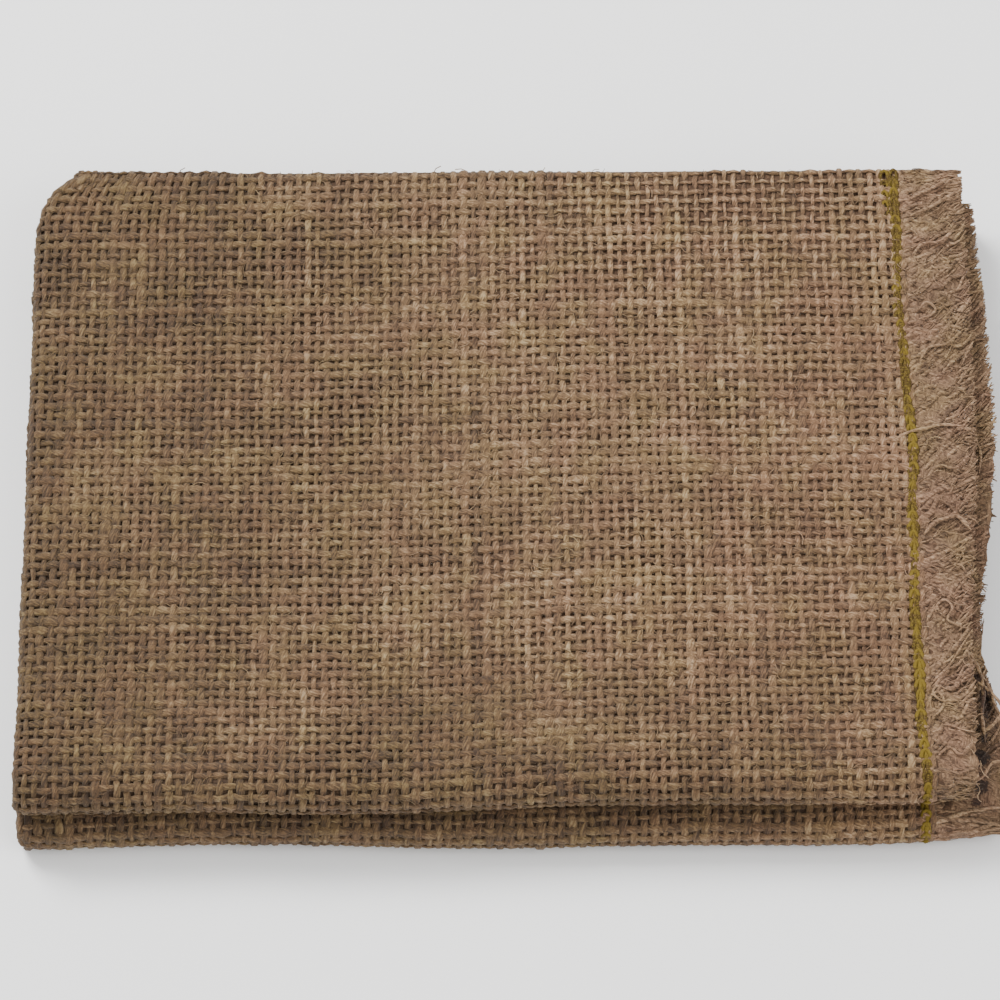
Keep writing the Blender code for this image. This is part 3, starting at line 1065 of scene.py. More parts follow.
# %% Lay the yarns
def yarn_lines(g, u, over, side, half, rise, rng, fine):
    """Lines for the yarns that run along the rows of the grids g and u, over where over is 1."""
    lift = over * rise * rng.uniform(*RISE_SHARE, over.shape)
    swell = 1.0 + CROWN_SWELL * over + rng.normal(0.0, SWELL_SPREAD, over.shape)
    x, y = WARP_BACK - PITCH * u, CLOSED_END - g * PANEL_LENGTH
    swell = swell + snugness(x, y)
    # Painted highlight on the crowns and painted shade where the yarn sinks, stronger to the back on
    # the right.
    paler = BACK_RIGHT_LIGHT * smooth((x + 10.0) / 50.0) * smooth((y - 40.0) / 40.0)
    shade = (CROWN_HIGHLIGHT + paler) * over + rng.normal(0.0, SHADE_SPREAD, over.shape)
    if fine:
        g, u, lift, swell, shade = (half_steps(grid) for grid in (g, u, lift, swell, shade))
    count, steps = g.shape
    at = np.arange(steps) * (PITCH / 2 if fine else PITCH)
    body = 1.0 + np.clip(rng.normal(0.0, BODY_SPREAD, (count, 1)), *BODY_RANGE)
    body = body + wander(rng, count, at, BODY_WANDER)
    for yarn in range(count):
        if rng.random() < SLUBS:
            where = rng.uniform(0, at[-1])
            slub = rng.uniform(*SLUB_SWELL)
            body[yarn] += slub * np.exp(-((at - where) / rng.uniform(*SLUB_LENGTH)) ** 2)
    tone = 0.5 + np.clip(rng.normal(0.0, TONE_SPREAD, (count, 1)), -0.3, 0.3)
    tone = tone + wander(rng, count, at, TONE_WANDER) + shade
    points = surface(g, u, lift, side)
    out = unit(surface(g, u, lift + 0.3, side) - surface(g, u, lift - 0.3, side))
    return list(zip(points, out, half * body * swell, tone))


def weave(name, first_g, last_g, first_u, side, seed, sides, fine=True, rise=RISE):
    """The woven yarns of one stretch of the sack, as two pieces: weft and warp."""
    rng = np.random.default_rng(seed)
    columns = np.arange(first_u, LAST + 1)
    index, g, u = crossings(first_g, last_g, columns, side, rng)
    over = np.where((index[:, None] + columns[None, :]) % 2 == 0, 1.0, -1.0)
    weft = yarn_lines(g, u, over, side, WEFT_HALF, rise, rng, fine)
    warp = yarn_lines(g.T, u.T, -over.T, side, WARP_HALF, rise, rng, fine)
    if PALE_WARP in columns and side > 0:
        pale = int(np.nonzero(columns == PALE_WARP)[0][0])
        points, out, half, tone = warp[pale]
        warp[pale] = (points, out, half * PALE_WIDTH, tone + np.linspace(*PALE_TONES, len(tone)))
    pieces = []
    for kind, lines, material in (("weft", weft, weft_jute), ("warp", warp, warp_jute)):
        title = f"{kind}_{name}"
        piece = yarn_piece(title, lines, material, seed, sides, YARN_PRESSED, YARN_UNEVEN)
        pieces.append(finish_piece(piece))
    return pieces


FIRST = -3
LAST = COLUMNS + TURN + 2
PLAIN_RISE = 0.26      # the underside is seen by few: it has fewer points and lies flatter
woven = weave("top", -0.1, 2.03, FIRST, 1, 11, 6)
woven += weave("front", 4.97, 6.03, FIRST, 1, 12, 6)
woven += weave("underside", 6.02, 7.0, FIRST, 1, 13, 4, False, PLAIN_RISE)
woven += weave("back", 2.97, 4.03, FIRST, -1, 14, 5)
woven += weave("left_upper", 2.03, 2.97, COLUMNS - 2, 1, 15, 5)
woven += weave("left_lower", 4.03, 4.97, COLUMNS - 2, 1, 16, 5)
woven += weave("closed_end", -0.1, 0.03, FIRST, -1, 17, 5)

# %% [markdown]
# ## The frayed edge
# Outside the stitches nothing holds the lengthwise yarns, so they have dropped out, and the ends of
# the crosswise yarns have come untwisted. Pressed together they have matted into a felt band, with
# the thicker ends still lying on it and slanting to the back. A hair system could do this, but
# here the felt is one swept band, as the sheet is, and each loose end belongs to a known row of the
# weave: it starts under the stitches where that row ends and splits into finer fibres on its way.

# %% The reach of the edge
# How far the ends reach: y, panel 1 (top), panel 2, panel 3, panel 4.
REACH = np.array((
    (-101.0, 123.5, 128.0, 132.5, 134.0),
    (-82.0, 124.8, 129.0, 133.5, 135.0),
    (-64.0, 124.6, 127.5, 131.0, 132.5),
    (-47.0, 124.6, 126.8, 127.2, 127.5),
    (-34.0, 126.0, 129.0, 129.0, 128.0),
    (-8.0, 128.2, 133.2, 132.2, 130.5),
    (15.0, 128.6, 134.6, 133.6, 132.0),
    (60.0, 128.5, 132.8, 132.4, 131.2),
    (98.0, 127.5, 130.2, 130.8, 130.2),
))

# At the front corner the top flap stands open: how far in each panel, and where.
GAPE = (1.9, -0.4, -0.3, 0.0)
GAPE_Y = -75.0
GAPE_RUN = 13.0
SAG = (0.9, 0.35)      # how far the outer and the inner wall's edges drop to their tips
print("the top edge reaches", REACH[:, 1].max(), "mm at most")


def reach_at(y, panel):
    return np.interp(y, REACH[:, 0], REACH[:, panel + 1])


def sag(side, panel, y, outer_wall=True):
    """How far a wall's edge drops from the seam to its tips."""
    drop = SAG[0 if outer_wall else 1] * (0.2 if resting(panel, side) else 1.0)
    return facing(panel) * (drop - GAPE[panel] * np.exp(-((y - GAPE_Y) / GAPE_RUN) ** 2))


def in_the_gap(x, y):
    """1 in the shadow beside the top flap where it stands open, 0 elsewhere."""
    beyond = x - reach_at(y, 0) - 0.7 * felt_relief(x, y)
    return np.exp(-((y - GAPE_Y + 2.0) / 12.0) ** 4) * smooth((4.6 - beyond) / 1.4)


# %% The felt band
FELT_COLUMNS = 11
FELT_START = 0.4           # from the stitch line
FELT_INSIDE = (0.9, 1.7)   # how far the felt ends inside the longest ends, on top and below
FELT_BARE = (0.42, 0.62)   # and how far it lies under the cloth's outer face
FELT_STEP = (1.0, 3.0)     # and how closely it is drawn
FELT_ROLL_STEPS = 8
FELT_ROUGH = 0.26
FELT_UNDER = 0.15
FELT_TONE = 0.10
FELT_SHADOW = 0.6
SHARP_FELT = 60
TORN_FROM = 0.5        # the outer half of the band tears into an uneven edge
TORN_SHARE = 0.85
RELIEF_WAVES = 18
RELIEF_LENGTHS = (1.8, 5.5)


def felt_relief(x, y):
    """A directionless unevenness, from crossing waves: about one unit up and down."""
    rng = np.random.default_rng(7)
    total = 0.0
    for _ in range(RELIEF_WAVES):
        way = rng.uniform(0.0, 2 * np.pi)
        turns = 2 * np.pi / rng.uniform(*RELIEF_LENGTHS)
        total = total + np.sin(turns * (x * np.cos(way) + y * np.sin(way)) + rng.uniform(0, 6.3))
    return total / 3.0


def felt_ring(panel, along, side, rng):
    """The band's section at one place along the sack, as x and n."""
    t = np.linspace(0.0, 1.0, FELT_COLUMNS)
    torn = TORN_SHARE * smooth((t - TORN_FROM) / (1.0 - TORN_FROM))
    y = y_at(panel, along)
    below = 0 if shown(panel, side) else 1
    lying = resting(panel, side)
    start = stitch_at(y) + FELT_START
    edge = reach_at(y, panel) - FELT_INSIDE[below] + 0.35 * felt_relief(40.0 * panel, y)
    x = start + (edge + rng.uniform(-0.6, 0.3) - start) * t
    drop = sag(side, panel, y) * smooth(t)
    rough = (0.10 if lying else FELT_ROUGH) * felt_relief(x + 40.0 * panel, y + 0.0 * t)
    top = OUTER - FELT_BARE[below] - (PRESSED if lying else 0.0) + side * rough
    core = (OUTER + INNER) / 2 + 0.25 * rng.normal() * torn
    under = INNER + FELT_UNDER
    top = side * (top + (core - top) * torn) - drop
    under = side * (under + (core - under) * torn) - drop
    return list(zip(x, top)) + list(zip(x, under))[::-1]


def felt_band(side):
    bm = bmesh.new()
    rng = np.random.default_rng(61)
    loops = []
    steps = [FELT_STEP[0 if shown(panel, side) else 1] for panel in range(PANELS)]
    counts = [int(PANEL_LENGTH / step) for step in steps]
    for panel, along in stations(counts, FELT_ROLL_STEPS):
        loops.append(add_loop(bm, felt_ring(panel, along, side, rng), panel, along))
    for one, two in zip(loops, loops[1:]):
        bridge(bm, one, two)
    for end in (loops[0], loops[-1]):
        fill_between(bm, end[:FELT_COLUMNS], end[FELT_COLUMNS:][::-1])
    mesh = mesh_from(bm, "felt", SHARP_FELT)
    x, y, z = mesh_points(mesh).reshape(-1, 3).T / MM
    shadow = in_the_gap(x - TO_ORIGIN[0], y - TO_ORIGIN[1]) * (z < TOP_FLAP)
    tone = mesh.attributes.new("tone", "FLOAT", "POINT")
    tone.data.foreach_set("value", 0.5 + FELT_TONE * felt_relief(y, x) - FELT_SHADOW * shadow)
    return mesh


felts = [
    new_piece("seam_felt_upper", felt_band(1), felted_jute),
    new_piece("seam_felt_lower", felt_band(-1), felted_jute),
]

# %% One loose end of the weft
LEAN = math.radians(29)
LEAN_DRIFT = math.radians(14)
LEAN_SPREAD = math.radians(13)
LEAN_RANGE = (-0.5, 0.9)
ROLL_LEAN = 3.5
RAGGED = 1.5           # how much shorter than the longest an end may be
INSIDE_SHORTER = 0.8
ENDS_START = -0.6      # from the stitch line
CRIMP = 0.34           # a weft yarn keeps the waves that the weave pressed into it
CALM_CURL = (0.35, 1.0)
WILD_CURL = (1.0, 1.9)
WILD = 0.65            # more ends than this share curl calmly
CURL_LENGTH = (5.0, 12.0)
# The ends that slant to the back stop at the edge or the roll there, in each panel.
BACK_LIMIT = (CLOSED_END, ROLL_REACH[1] - 2.0, ROLL_REACH[1] - 2.0, MOUTH_END + 1.5)


def loose_line(x, n, panel, along, half, tone):
    """A line of loose yarn or fibre through the given places."""
    out = unit(place(x, n + 0.2, panel, along) - place(x, n - 0.2, panel, along))
    return place(x, n, panel, along), out, half, tone


def clump(y):
    """The ends lie in clumps that lean together: from -1 to 1 along the edge."""
    return math.sin(y / 3.9 + 1.7 * math.sin(y / 9.7))


def weft_end(rng, g, side, outer_wall, steps):
    """One weft yarn beyond the stitches, as x, n and along, with the panel it lies beside."""
    panel = panel_of(g)
    along = g - 2 * panel
    y = y_at(panel, along)
    lying = resting(panel, side)
    t = np.linspace(0.0, 1.0, steps)
    start = stitch_at(y) + ENDS_START
    shorter = RAGGED * rng.random() ** 1.5
    reach = reach_at(y, panel) - shorter - (0.0 if outer_wall else INSIDE_SHORTER)
    x = start + (reach - start) * t
    level = LEVEL - rng.uniform(-0.1, 0.4) if outer_wall else INNER + 0.5
    crimp = CRIMP * (0.3 if lying else 1.0)
    n = side * np.full(steps, level) - (PRESSED if lying and outer_wall else 0.0)
    n = n - sag(side, panel, y, outer_wall) * smooth(t)
    n = n + crimp * (1.0 - 0.5 * t) * np.sin(2 * np.pi * x / (2.0 * PITCH) + rng.uniform(0, 6.3))
    curl = rng.uniform(*CALM_CURL) if rng.random() < WILD else rng.uniform(*WILD_CURL)
    wave = curl * np.sin(2 * np.pi * x / rng.uniform(*CURL_LENGTH) + rng.uniform(0, 6.3))
    wave = wave * smooth(2.0 * t)
    if along > 1.0 and panel < PANELS - 1:
        lean = rng.normal(0.0, ROLL_LEAN) * t
        return x, n, panel, np.clip(along + (lean + 0.8 * wave) / ROLL_LENGTH, 1.0001, 1.9999)
    lean = np.clip(rng.normal(LEAN + LEAN_DRIFT * clump(y), LEAN_SPREAD), *LEAN_RANGE)
    dy = math.tan(lean) * (reach - start) * t ** 1.25 + wave
    room = max(BACK_LIMIT[panel] + rng.uniform(-0.6, 0.5) - y, 0.3)
    dy = np.where(dy > 0, room * np.tanh(dy / room), dy)
    first, last = panel_ends(panel, SEAM_BACK)
    x = np.minimum(x, reach_at(y + dy, panel) - 0.3 * rng.random())
    return x, n, panel, along + dy / (last - first)


print("the ends lean back by", round(math.degrees(LEAN)), "degrees")


# %% All loose ends
STRAND_HALF = ((0.62, 0.92), (0.30, 0.72))     # of the yarn, and of the strands beside it
STRAND_APART = (0.4, 1.2)
STRAND_TAPER = 0.45
TIPS = 2               # torn tips beside each end, that show only at the edge
TIP_POINTS = 4
FIBRE_HALF = (0.11, 0.26)
FIBRE_TONE = (0.35, 0.95)
END_TONE = (0.5, 0.17)
GAP_SHADOW = 0.45


def split_fibre(rng, path, side, steps):
    """A fine bundle of fibres that leaves a weft end part of the way along it."""
    x, n, panel, along = path
    begin = rng.uniform(0.0, 0.65)
    length = rng.uniform(0.15, 0.4)
    at = np.clip(np.linspace(begin, begin + length, steps), 0.0, 1.02) * (len(x) - 1)
    index = np.arange(len(x))
    t = np.linspace(0.0, 1.0, steps)
    fx = np.minimum(np.interp(at, index, x) + rng.normal(0.0, 0.25), x.max() + 0.2)
    fn = np.interp(at, index, n) + side * (rng.uniform(0.1, 0.5) * np.sin(np.pi * t) + 0.15)
    if resting(panel, side):
        fn = np.interp(at, index, n) - 0.05
    stray = rng.normal(0.3, 2.4) * t ** 1.5 + 0.4 * np.sin(rng.uniform(3, 8) * t + rng.uniform(0, 6))
    falong = np.interp(at, index, along)
    if along[0] <= 1.0:
        falong = falong - facing(panel) * stray / PANEL_LENGTH
        falong = np.maximum(falong, -0.003) if panel == 0 else falong
    half = rng.uniform(*FIBRE_HALF) * (1.0 - 0.6 * t)
    return loose_line(fx, fn, panel, falong, half, np.full(steps, rng.uniform(*FIBRE_TONE)))


def strand(rng, g, first, side, outer_wall, steps):
    """One strand near the row at g: its path, its half widths and its tones."""
    near = g + rng.normal(0, STRAND_APART[0 if first else 1]) / PANEL_LENGTH
    near = max(near, 0.003) if g < 1.0 else near
    path = weft_end(rng, near, side, outer_wall, steps)
    x, n, panel, along = path
    y = place(x, n, panel, along)[..., 1]
    t = np.linspace(0.0, 1.0, steps)
    half = rng.uniform(*STRAND_HALF[0 if first else 1])
    bulge = 1.0 + 0.16 * np.sin(rng.uniform(6, 16) * t + rng.uniform(0, 6))
    widths = half * (1.0 - STRAND_TAPER * t ** 2) * bulge
    widths[-1] *= 0.5
    tone = rng.normal(*END_TONE) + 0.10 * clump(1.7 * y[0]) + 0.08 * t
    tone = tone + 0.10 * np.sin(rng.uniform(5, 20) * t)
    if panel > 0:
        tone = tone - GAP_SHADOW * in_the_gap(x, y)
    return path, widths, tone


def fray(side, seed):
    """All loose ends of one half of the sack, with the finer fibres that split off them."""
    rng = np.random.default_rng(seed)
    ends = []
    fibres = []
    for g in ROW_PLACES[END_ROWS:]:
        for outer_wall in (True, False):
            in_view = outer_wall and g < 1.0 and side > 0
            steps = 13 if in_view else 8
            strands = 4 if in_view else 2 if outer_wall else 1
            for number in range(strands + TIPS):
                path, widths, tone = strand(rng, g, number == 0, side, outer_wall, steps)
                if number < strands:
                    ends.append(loose_line(*path, widths, tone))
                    if outer_wall:
                        fibres.append(split_fibre(rng, path, side, 7 if in_view else 5))
                else:
                    x, n, panel, along = path
                    tip = slice(-TIP_POINTS, None)
                    n = n[tip] + rng.normal(0.0, 0.35)
                    fibres.append(loose_line(x[tip], n, panel, along[tip], widths[tip], tone[tip]))
    return ends, fibres


def fringe_piece(name, side, seed, node):
    """The ends and the fibres of one half, in one mesh that replaces its solid."""
    ends, fibres = fray(side, seed)
    piece = yarn_piece(name, ends, loose_jute, seed, 5, 0.55, 0.22)
    wisps = yarn_piece(name + "_fibres", fibres, loose_jute, seed + 1, 3, 0.8, 0.2)
    bm = bmesh.new()
    bm.from_mesh(piece.data)
    bm.from_mesh(wisps.data)
    bm.to_mesh(piece.data)
    bm.free()
    bpy.data.objects.remove(wisps, do_unlink=True)
    return finish_piece(piece, node)


fringes = [
    fringe_piece("seam_ends_upper", 1, 31, "seam_fringe_upper"),
    fringe_piece("seam_ends_lower", -1, 41, "seam_fringe_lower"),
]

# %% [markdown]
# ## The mouth
# At the mouth the sack's cloth is simply cut. A cut yarn has no neighbour to hold it, so each of the
# lengthwise yarns stands out a little, by its own length. They are short lines for the yarn tree.

# %% The mouth's cut edge
MOUTH_WALLS = (LEVEL - PRESSED, 0.85, -0.85, -LEVEL)
TIP_BEND = np.array((0.0, 0.1, 0.3))
TIP_TAPER = np.array((1.0, 1.0, 0.55))
TIP_ROOT = -2.5        # a tip starts this far inside the mouth


def mouth_tips():
    rng = np.random.default_rng(51)
    lines = []
    for n in MOUTH_WALLS:
        for u in range(FIRST, COLUMNS):
            x = WARP_BACK - PITCH * u + rng.normal(0.0, 0.25) + TIP_BEND * rng.normal(0, 1)
            along = 1.0 + np.array((TIP_ROOT, 0.0, rng.uniform(0.5, 2.0))) / PANEL_LENGTH
            widths = rng.uniform(0.6, 0.85) * TIP_TAPER
            tone = np.full(3, rng.normal(0.5, 0.15))
            lines.append(loose_line(x, np.full(3, n), PANELS - 1, along, widths, tone))
    return lines


tips = yarn_piece("mouth_tips", mouth_tips(), loose_jute, 52, 4, 0.6, 0.15)
finish_piece(tips)

# %% [markdown]
# ## The seam
# A sack is sewn on a chain-stitch machine: each stitch is a loop of thread that holds the next. The
# chain follows the seam, so a Geometry Nodes tree sets one link at every stitch of a path, turned
# along it and a little different in size each time.


# %% The chain stitch tree
LOOP_POINTS = 10
THREAD_SIDES = 5
LOOP_LENGTH = 0.72     # of a stitch, each way, so that each link reaches into the next
LOOP_TILT = math.radians(9.0)
# Where a link dips into the next one it is painted in shade.
SINKS = (-0.0002, 0.0012)      # from here to there, in metres, a link dips into the next one


def chain_tree():
    tree, source = new_tree("chain stitch", "GeometryNodeTree", (
        GEOMETRY,
        ("Stitch Length", "Float", 0.0031),
        ("Stitch Width", "Float", 0.0022),
        ("Thread", "Float", 0.00042),
        ("Unevenness", "Float", 0.2),
        ("Seed", "Int", 3),
        MATERIAL,
    ), (GEOMETRY,))
    line = add(tree, "GeometryNodeMeshToCurve", {"Mesh": source["Geometry"]})
    inputs = {"Curve": line, "Length": source["Stitch Length"]}
    stitches = add(tree, "GeometryNodeResampleCurve", inputs, mode="LENGTH")

    size = add(tree, "ShaderNodeCombineXYZ", {
        "X": maths(tree, "MULTIPLY", source["Stitch Length"], LOOP_LENGTH),
        "Y": maths(tree, "MULTIPLY", source["Stitch Width"], 0.5),
    })
    loop = add(tree, "GeometryNodeTransform", {
        "Geometry": ring(tree, LOOP_POINTS, 1.0),
        "Scale": size,
        "Rotation": (0.0, LOOP_TILT, 0.0),
    })
    link = tube(tree, loop, ring(tree, THREAD_SIDES, source["Thread"]))
    here = add(tree, "ShaderNodeSeparateXYZ", {0: add(tree, "GeometryNodeInputPosition")})
    # Painted shade: each link is darker where it dips under the next one.
    link = keep(tree, link, "dip_shade", remap(tree, here.outputs["X"], *SINKS))

    inputs = {0: read(tree, "out", "FLOAT_VECTOR"), 1: add(tree, "GeometryNodeInputTangent")}
    turn = add(tree, "FunctionNodeAxesToRotation", inputs, primary_axis="Z", secondary_axis="X")
    wide = add(tree, "ShaderNodeCombineXYZ", {"X": 1.0, "Y": uneven(tree, source), "Z": 1.0})
    return finish_tree(tree, source, copies(tree, stitches, link, turn, wide, source["Seed"]))


chain_stitch = chain_tree()


# %% Thread material
DUSTY_THREAD = (0.050, 0.028, 0.006, 1.0)
CLEAN_THREAD = (0.126, 0.083, 0.009, 1.0)
WORN_THREAD = (0.168, 0.118, 0.017, 1.0)
DUST = (190.0, 3.0)            # scale and detail of its patches
THREAD_STRANDS = (2600.0, 2.0)
THREAD_BUMP = (0.4, 0.0002)
THREAD_SHINE = 0.2


def thread_material():
    """Yellow thread: paler worn strands, dull olive where dust has settled, and a painted shade where
    each link dips under the next, so that its crowns look paler.
    """
    material, tree, shader = new_material("sewing thread")
    spot = add(tree, "ShaderNodeTexCoord").outputs["Object"]
    split = add(tree, "ShaderNodeSeparateXYZ", {0: spot}).outputs
    worn = remap(tree, split["Y"], -0.01, 0.06, 0.09, -0.10)
    dust = remap(tree, noise(tree, spot, *DUST), 0.35, 0.65, 0.28, 0.72)
    clean = maths(tree, "ADD", dust, worn)
    each = remap(tree, attribute(tree, "tone"), 0.0, 1.0, -0.15, 0.15)
    clean = maths(tree, "ADD", clean, each)
    # The painted shade where a link dips under the next one.
    dip_shade = maths(tree, "MULTIPLY", attribute(tree, "dip_shade"), 0.7)
    clean = maths(tree, "SUBTRACT", clean, dip_shade)
    strands = noise(tree, spot, *THREAD_STRANDS)
    colour = mix(tree, remap(tree, clean, 0.38, 0.58), DUSTY_THREAD, CLEAN_THREAD)
    fill(tree, shader, {
        "Base Color": mix(tree, remap(tree, strands, 0.45, 0.75), colour, WORN_THREAD),
        "Roughness": remap(tree, strands, 0.2, 0.8, 0.9, 0.7),
        "Specular IOR Level": THREAD_SHINE,
        "Normal": relief(tree, strands, *THREAD_BUMP),
    })
    return material


yellow_thread = thread_material()
print("thread material:", yellow_thread.name)


# %% Sew
SEAM_STEP = 0.8        # between the points of a seam's line
THREAD_HALF = 0.7


def seam_path(first_g, last_g, side, shift, lift, tone=0.5):
    """A line along the stitches: shift is across from the stitch line, lift above the yarns."""
    points = []
    outs = []
    g = first_g
    while g <= last_g:
        panel = panel_of(g)
        along = g - 2 * panel
        y = y_at(panel, along)
        pressed = PRESSED * float(near_ground(panel, along))
        sway = 0.25 * math.sin(y / 5.3) + 0.3 * math.sin(y / 19.0 + 1.0)
        dip = 0.12 * math.sin(y / 3.7) + 0.12 * math.sin(y / 11.3)
        n = side * (LEVEL + lift - pressed + (dip if pressed == 0.0 else -0.2))
        x = stitch_at(y) + shift + sway
        points.append(place(x, n, panel, along))
        outs.append(unit(place(x, n + side * 0.2, panel, along) - points[-1]))
        g += SEAM_STEP / float(unit_length(g))
    count = len(points)
    return np.array(points), np.array(outs), np.full(count, THREAD_HALF), np.full(count, tone)


SEAM_RUNS = ((0.012, 2.02, 1), (2.98, 4.02, -1), (4.98, 6.995, 1))
chain_lines = [seam_path(*run, 0.0, 0.15) for run in SEAM_RUNS]
chain_lines.append(seam_path(0.014, 0.07, 1, -2.5, 0.2))
stitch_sizes = {
    "Stitch Length": 0.0030,
    "Stitch Width": 0.0020,
    "Thread": 0.00052,
    "Unevenness": 0.22,
}
chain_line = line_mesh("seam_chain", chain_lines)
chain = grow("seam_chain", chain_line, chain_stitch, yellow_thread, 5, stitch_sizes)
finish_piece(chain)
lock_lines = [seam_path(*run, 0.1, 0.2, 0.2) for run in SEAM_RUNS]
lock = yarn_piece("seam_lock_thread", lock_lines, yellow_thread, 6, 5, 0.8, 0.2)
finish_piece(lock)

# %% [markdown]
# ## Loose yarns and stray hairs
# Jute sheds. Longer yarns have worked loose and lie across the frayed band, some curled into loops, and
# fine hairs stand off the whole cloth. The long yarns are laid one by one where they lie in the
# photograph. The hairs are grown by a tree that scatters them over the outer face.


# %% Lay the loose yarns
YARN_STEPS = 6         # points drawn for each one given


def along_at(panel, y):
    first, last = panel_ends(panel, SEAM_BACK)
    return (y - first) / (last - first)


def curve_through(knots, count):
    """A smooth line through a few points, by a cubic spline over their chord length."""
    gap = np.maximum(np.linalg.norm(np.diff(knots, axis=0), axis=1), 1e-6)
    at = np.concatenate(([0.0], np.cumsum(gap)))
    slope = np.gradient(knots, at, axis=0)
    fine = np.linspace(0.0, at[-1], count)
    index = np.clip(np.searchsorted(at, fine) - 1, 0, len(gap) - 1)
    h = gap[index][:, None]
    t = ((fine - at[index]) / gap[index])[:, None]
    a, b = knots[index], knots[index + 1]
    m, k = slope[index] * h, slope[index + 1] * h
    ends = (2 * t**3 - 3 * t**2 + 1) * a + (3 * t**2 - 2 * t**3) * b
    return ends + (t**3 - 2 * t**2 + t) * m + (t**3 - t**2) * k


# Each yarn's panel, side, lift, half width and tone, and the x and y of its points in turn.
LOOSE_YARNS = (
    (0, 1, 0.75, 0.42, 0.95, (104.5, 9.7, 109.5, 13.2, 114.0, 14.3, 119.0, 15.8, 124.6, 15.1)),
    (0, 1, 0.70, 0.50, 0.90, (112.6, -18.6, 115.6, -15.0, 118.2, -13.7, 120.9, -12.8, 125.2, -17.5)),
    (0, 1, 0.55, 0.45, 0.80, (113.0, 88.0, 117.5, 90.8, 120.5, 92.6, 124.0, 95.0)),
    (0, 1, 0.55, 0.45, 0.85, (112.5, 82.5, 117.0, 84.6, 121.5, 87.6, 125.5, 90.0)),
    (0, 1, 0.60, 0.38, 0.85, (112.8, 70.0, 116.0, 73.5, 120.0, 74.2, 124.5, 77.5)),
    (0, 1, 0.65, 0.36, 0.80, (113.5, 36.0, 116.5, 40.5, 121.0, 41.5, 125.8, 46.0)),
    (0, 1, 0.65, 0.40, 0.75, (114.0, -1.0, 117.5, 2.8, 121.5, 2.0, 126.0, 6.5)),
    (0, 1, 0.60, 0.34, 0.90,
     (116.5, -43.4, 115.2, -40.2, 117.2, -38.6, 119.2, -41.2, 117.8, -44.4, 121.5, -47.0)),
    (0, 1, 0.70, 0.36, 1.00,
     (112.4, -71.5, 112.3, -68.4, 114.4, -66.6, 115.8, -69.0, 114.6, -72.6, 112.6, -74.4)),
    (0, 1, 0.85, 0.30, 0.95, (117.0, -66.0, 114.2, -64.8, 113.0, -67.0, 115.4, -69.4, 119.8, -67.8)),
    (0, 1, 0.70, 0.32, 0.90, (113.6, 49.2, 116.6, 50.2, 118.4, 52.8, 116.0, 54.6, 114.0, 52.6)),
    (0, 1, 0.60, 0.40, 0.80, (113.6, -86.0, 117.0, -83.4, 119.4, -85.6, 122.8, -81.8)),
    (1, -1, 0.60, 0.46, 0.85, (119.5, -49.0, 124.5, -53.8, 126.8, -62.0, 126.0, -70.0, 126.6, -79.0)),
    (1, -1, 0.95, 0.38, 0.90, (121.0, -58.0, 125.5, -60.5, 130.5, -66.0, 133.0, -73.0)),
    (1, -1, 0.70, 0.42, 0.80, (120.5, -80.0, 125.0, -76.0, 128.5, -73.5, 132.5, -68.5)),
    (1, -1, 0.80, 0.36, 0.90, (120.0, -91.0, 124.5, -89.5, 128.8, -84.5, 133.0, -85.0)),
    (2, 1, 0.70, 0.40, 0.85, (124.0, -52.0, 128.0, -57.5, 130.6, -66.0, 134.2, -72.0)),
    (1, -1, 0.60, 0.36, 0.80, (119.0, 22.0, 124.5, 20.0, 129.0, 12.0, 128.6, 4.0)),
)


def hand_laid():
    lines = []
    for panel, side, lift, half, tone, numbers in LOOSE_YARNS:
        knots = np.reshape(numbers, (-1, 2))
        path = curve_through(knots, YARN_STEPS * len(knots))
        t = np.linspace(0.0, 1.0, len(path))
        n = np.full(len(path), side * (LEVEL + lift)) + side * 0.25 * np.sin(9.0 * t + path[0, 0])
        ends = np.minimum(1.0, 6.0 * np.minimum(t, 1.0 - t) + 0.25)
        widths = half * ends * (1.0 + 0.14 * np.sin(23.0 * t + path[0, 1]))
        tones = np.full(len(path), tone) + 0.06 * np.sin(17.0 * t)
        along = along_at(panel, path[:, 1])
        lines.append(loose_line(path[:, 0], n, panel, along, 1.15 * widths, tones - 0.15))
    return lines


loose = yarn_piece("loose_yarns", hand_laid(), loose_jute, 8, 6, 0.75, 0.12)
finish_piece(loose)


# %% The hair tree
HAIR_SIDES = 3
HAIR_STEPS = 2
HAIR_BOW = ((-0.5, 0.0, -0.03), (0.05, 0.35, 0.16), (0.5, -0.05, 0.02))
HAIR_LENGTHS = (0.45, 1.5)     # shortest and longest, against the tree's Hair Length
SIZE_SEED = 7.0


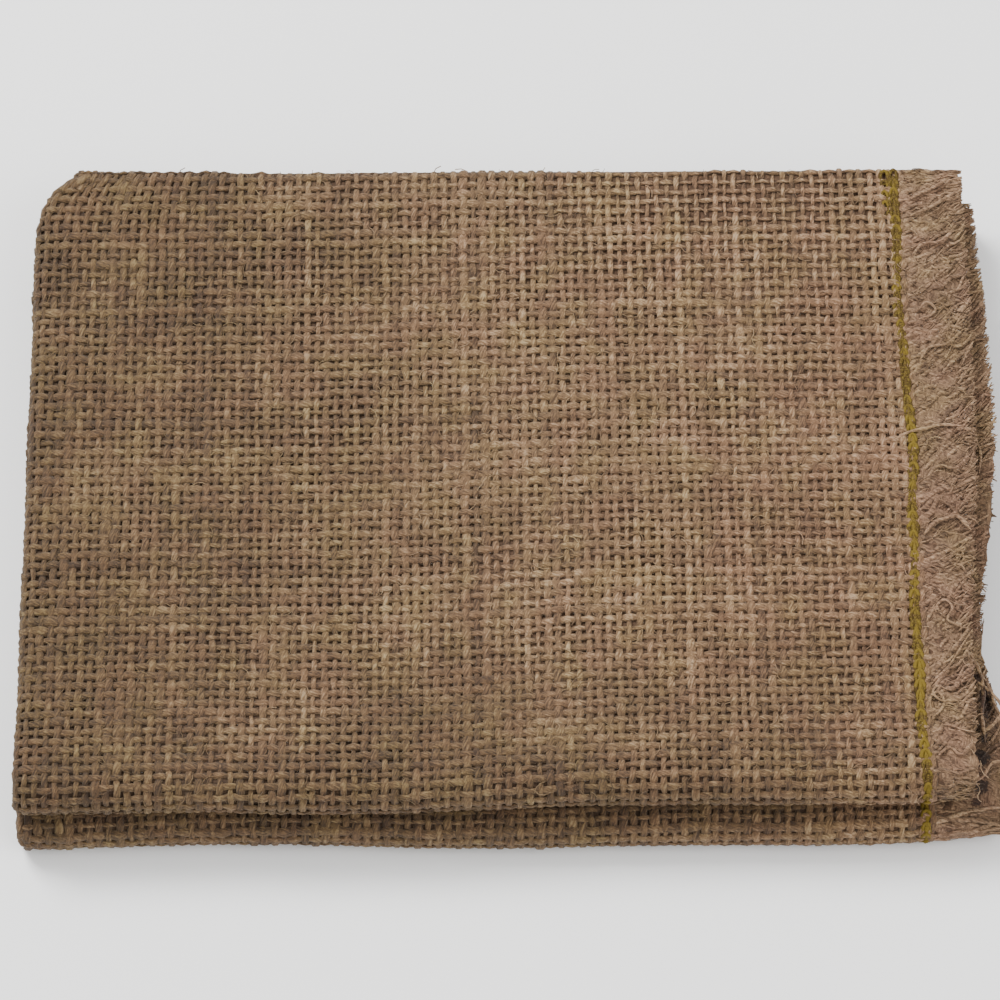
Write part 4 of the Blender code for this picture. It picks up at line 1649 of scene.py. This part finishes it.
def hair_tree():
    tree, source = new_tree("stray hairs", "GeometryNodeTree", (
        GEOMETRY,
        ("Density", "Float", 30000.0),
        ("Hair Length", "Float", 0.004),
        ("Hair Thickness", "Float", 0.00006),
        ("Seed", "Int", 2),
        MATERIAL,
    ), (GEOMETRY,))
    seed, length = source["Seed"], source["Hair Length"]
    inputs = {"Mesh": source["Geometry"], "Density": source["Density"], "Seed": seed}
    roots = add(tree, "GeometryNodeDistributePointsOnFaces", inputs).outputs

    bow = dict(zip(("Start", "Middle", "End"), HAIR_BOW), Resolution=HAIR_STEPS)
    bow = add(tree, "GeometryNodeCurveQuadraticBezier", bow)
    share = maths(tree, "DIVIDE", source["Hair Thickness"], length)
    hair = tube(tree, bow, ring(tree, HAIR_SIDES, share), True)

    inputs = {"Axis": (0.0, 0.0, 1.0), "Angle": chance(tree, seed, 0.0, 2 * math.pi)}
    about = add(tree, "FunctionNodeAxisAngleToRotation", inputs)
    inputs = {0: roots["Rotation"], 1: about}
    turn = add(tree, "FunctionNodeRotateRotation", inputs, rotation_space="LOCAL")
    short, long = (maths(tree, "MULTIPLY", length, part) for part in HAIR_LENGTHS)
    size = chance(tree, maths(tree, "ADD", seed, SIZE_SEED), short, long)
    return finish_tree(tree, source, copies(tree, roots["Points"], hair, turn, size, seed))


stray_hairs = hair_tree()


# %% Grow the hairs
def outer_face(first_g, last_g, first_u, last_u, rows, columns, lift):
    """A plain grid over a stretch of the outer face, for the hairs to stand on."""
    g = np.linspace(first_g, last_g, rows)[:, None]
    u = np.linspace(first_u, last_u, columns)[None, :]
    points = to_metres(surface(g, u, lift, 1)).reshape(-1, 3)
    faces = []
    for i in range(rows - 1):
        for j in range(columns - 1):
            a = i * columns + j
            faces.append((a + 1, a + columns + 1, a + columns, a))
    mesh = bpy.data.meshes.new("outer_face")
    mesh.from_pydata([tuple(point) for point in points], [], faces)
    return mesh


hair_ground = outer_face(0.0, 1.8, -8.0, COLUMNS + 2.0, 50, 40, 0.45)
hair_sizes = {"Density": 52000.0, "Hair Length": 0.0032, "Hair Thickness": 0.00010}
hairs = grow("stray_hairs", hair_ground, stray_hairs, hair_jute, 9, hair_sizes)
finish_piece(hairs)
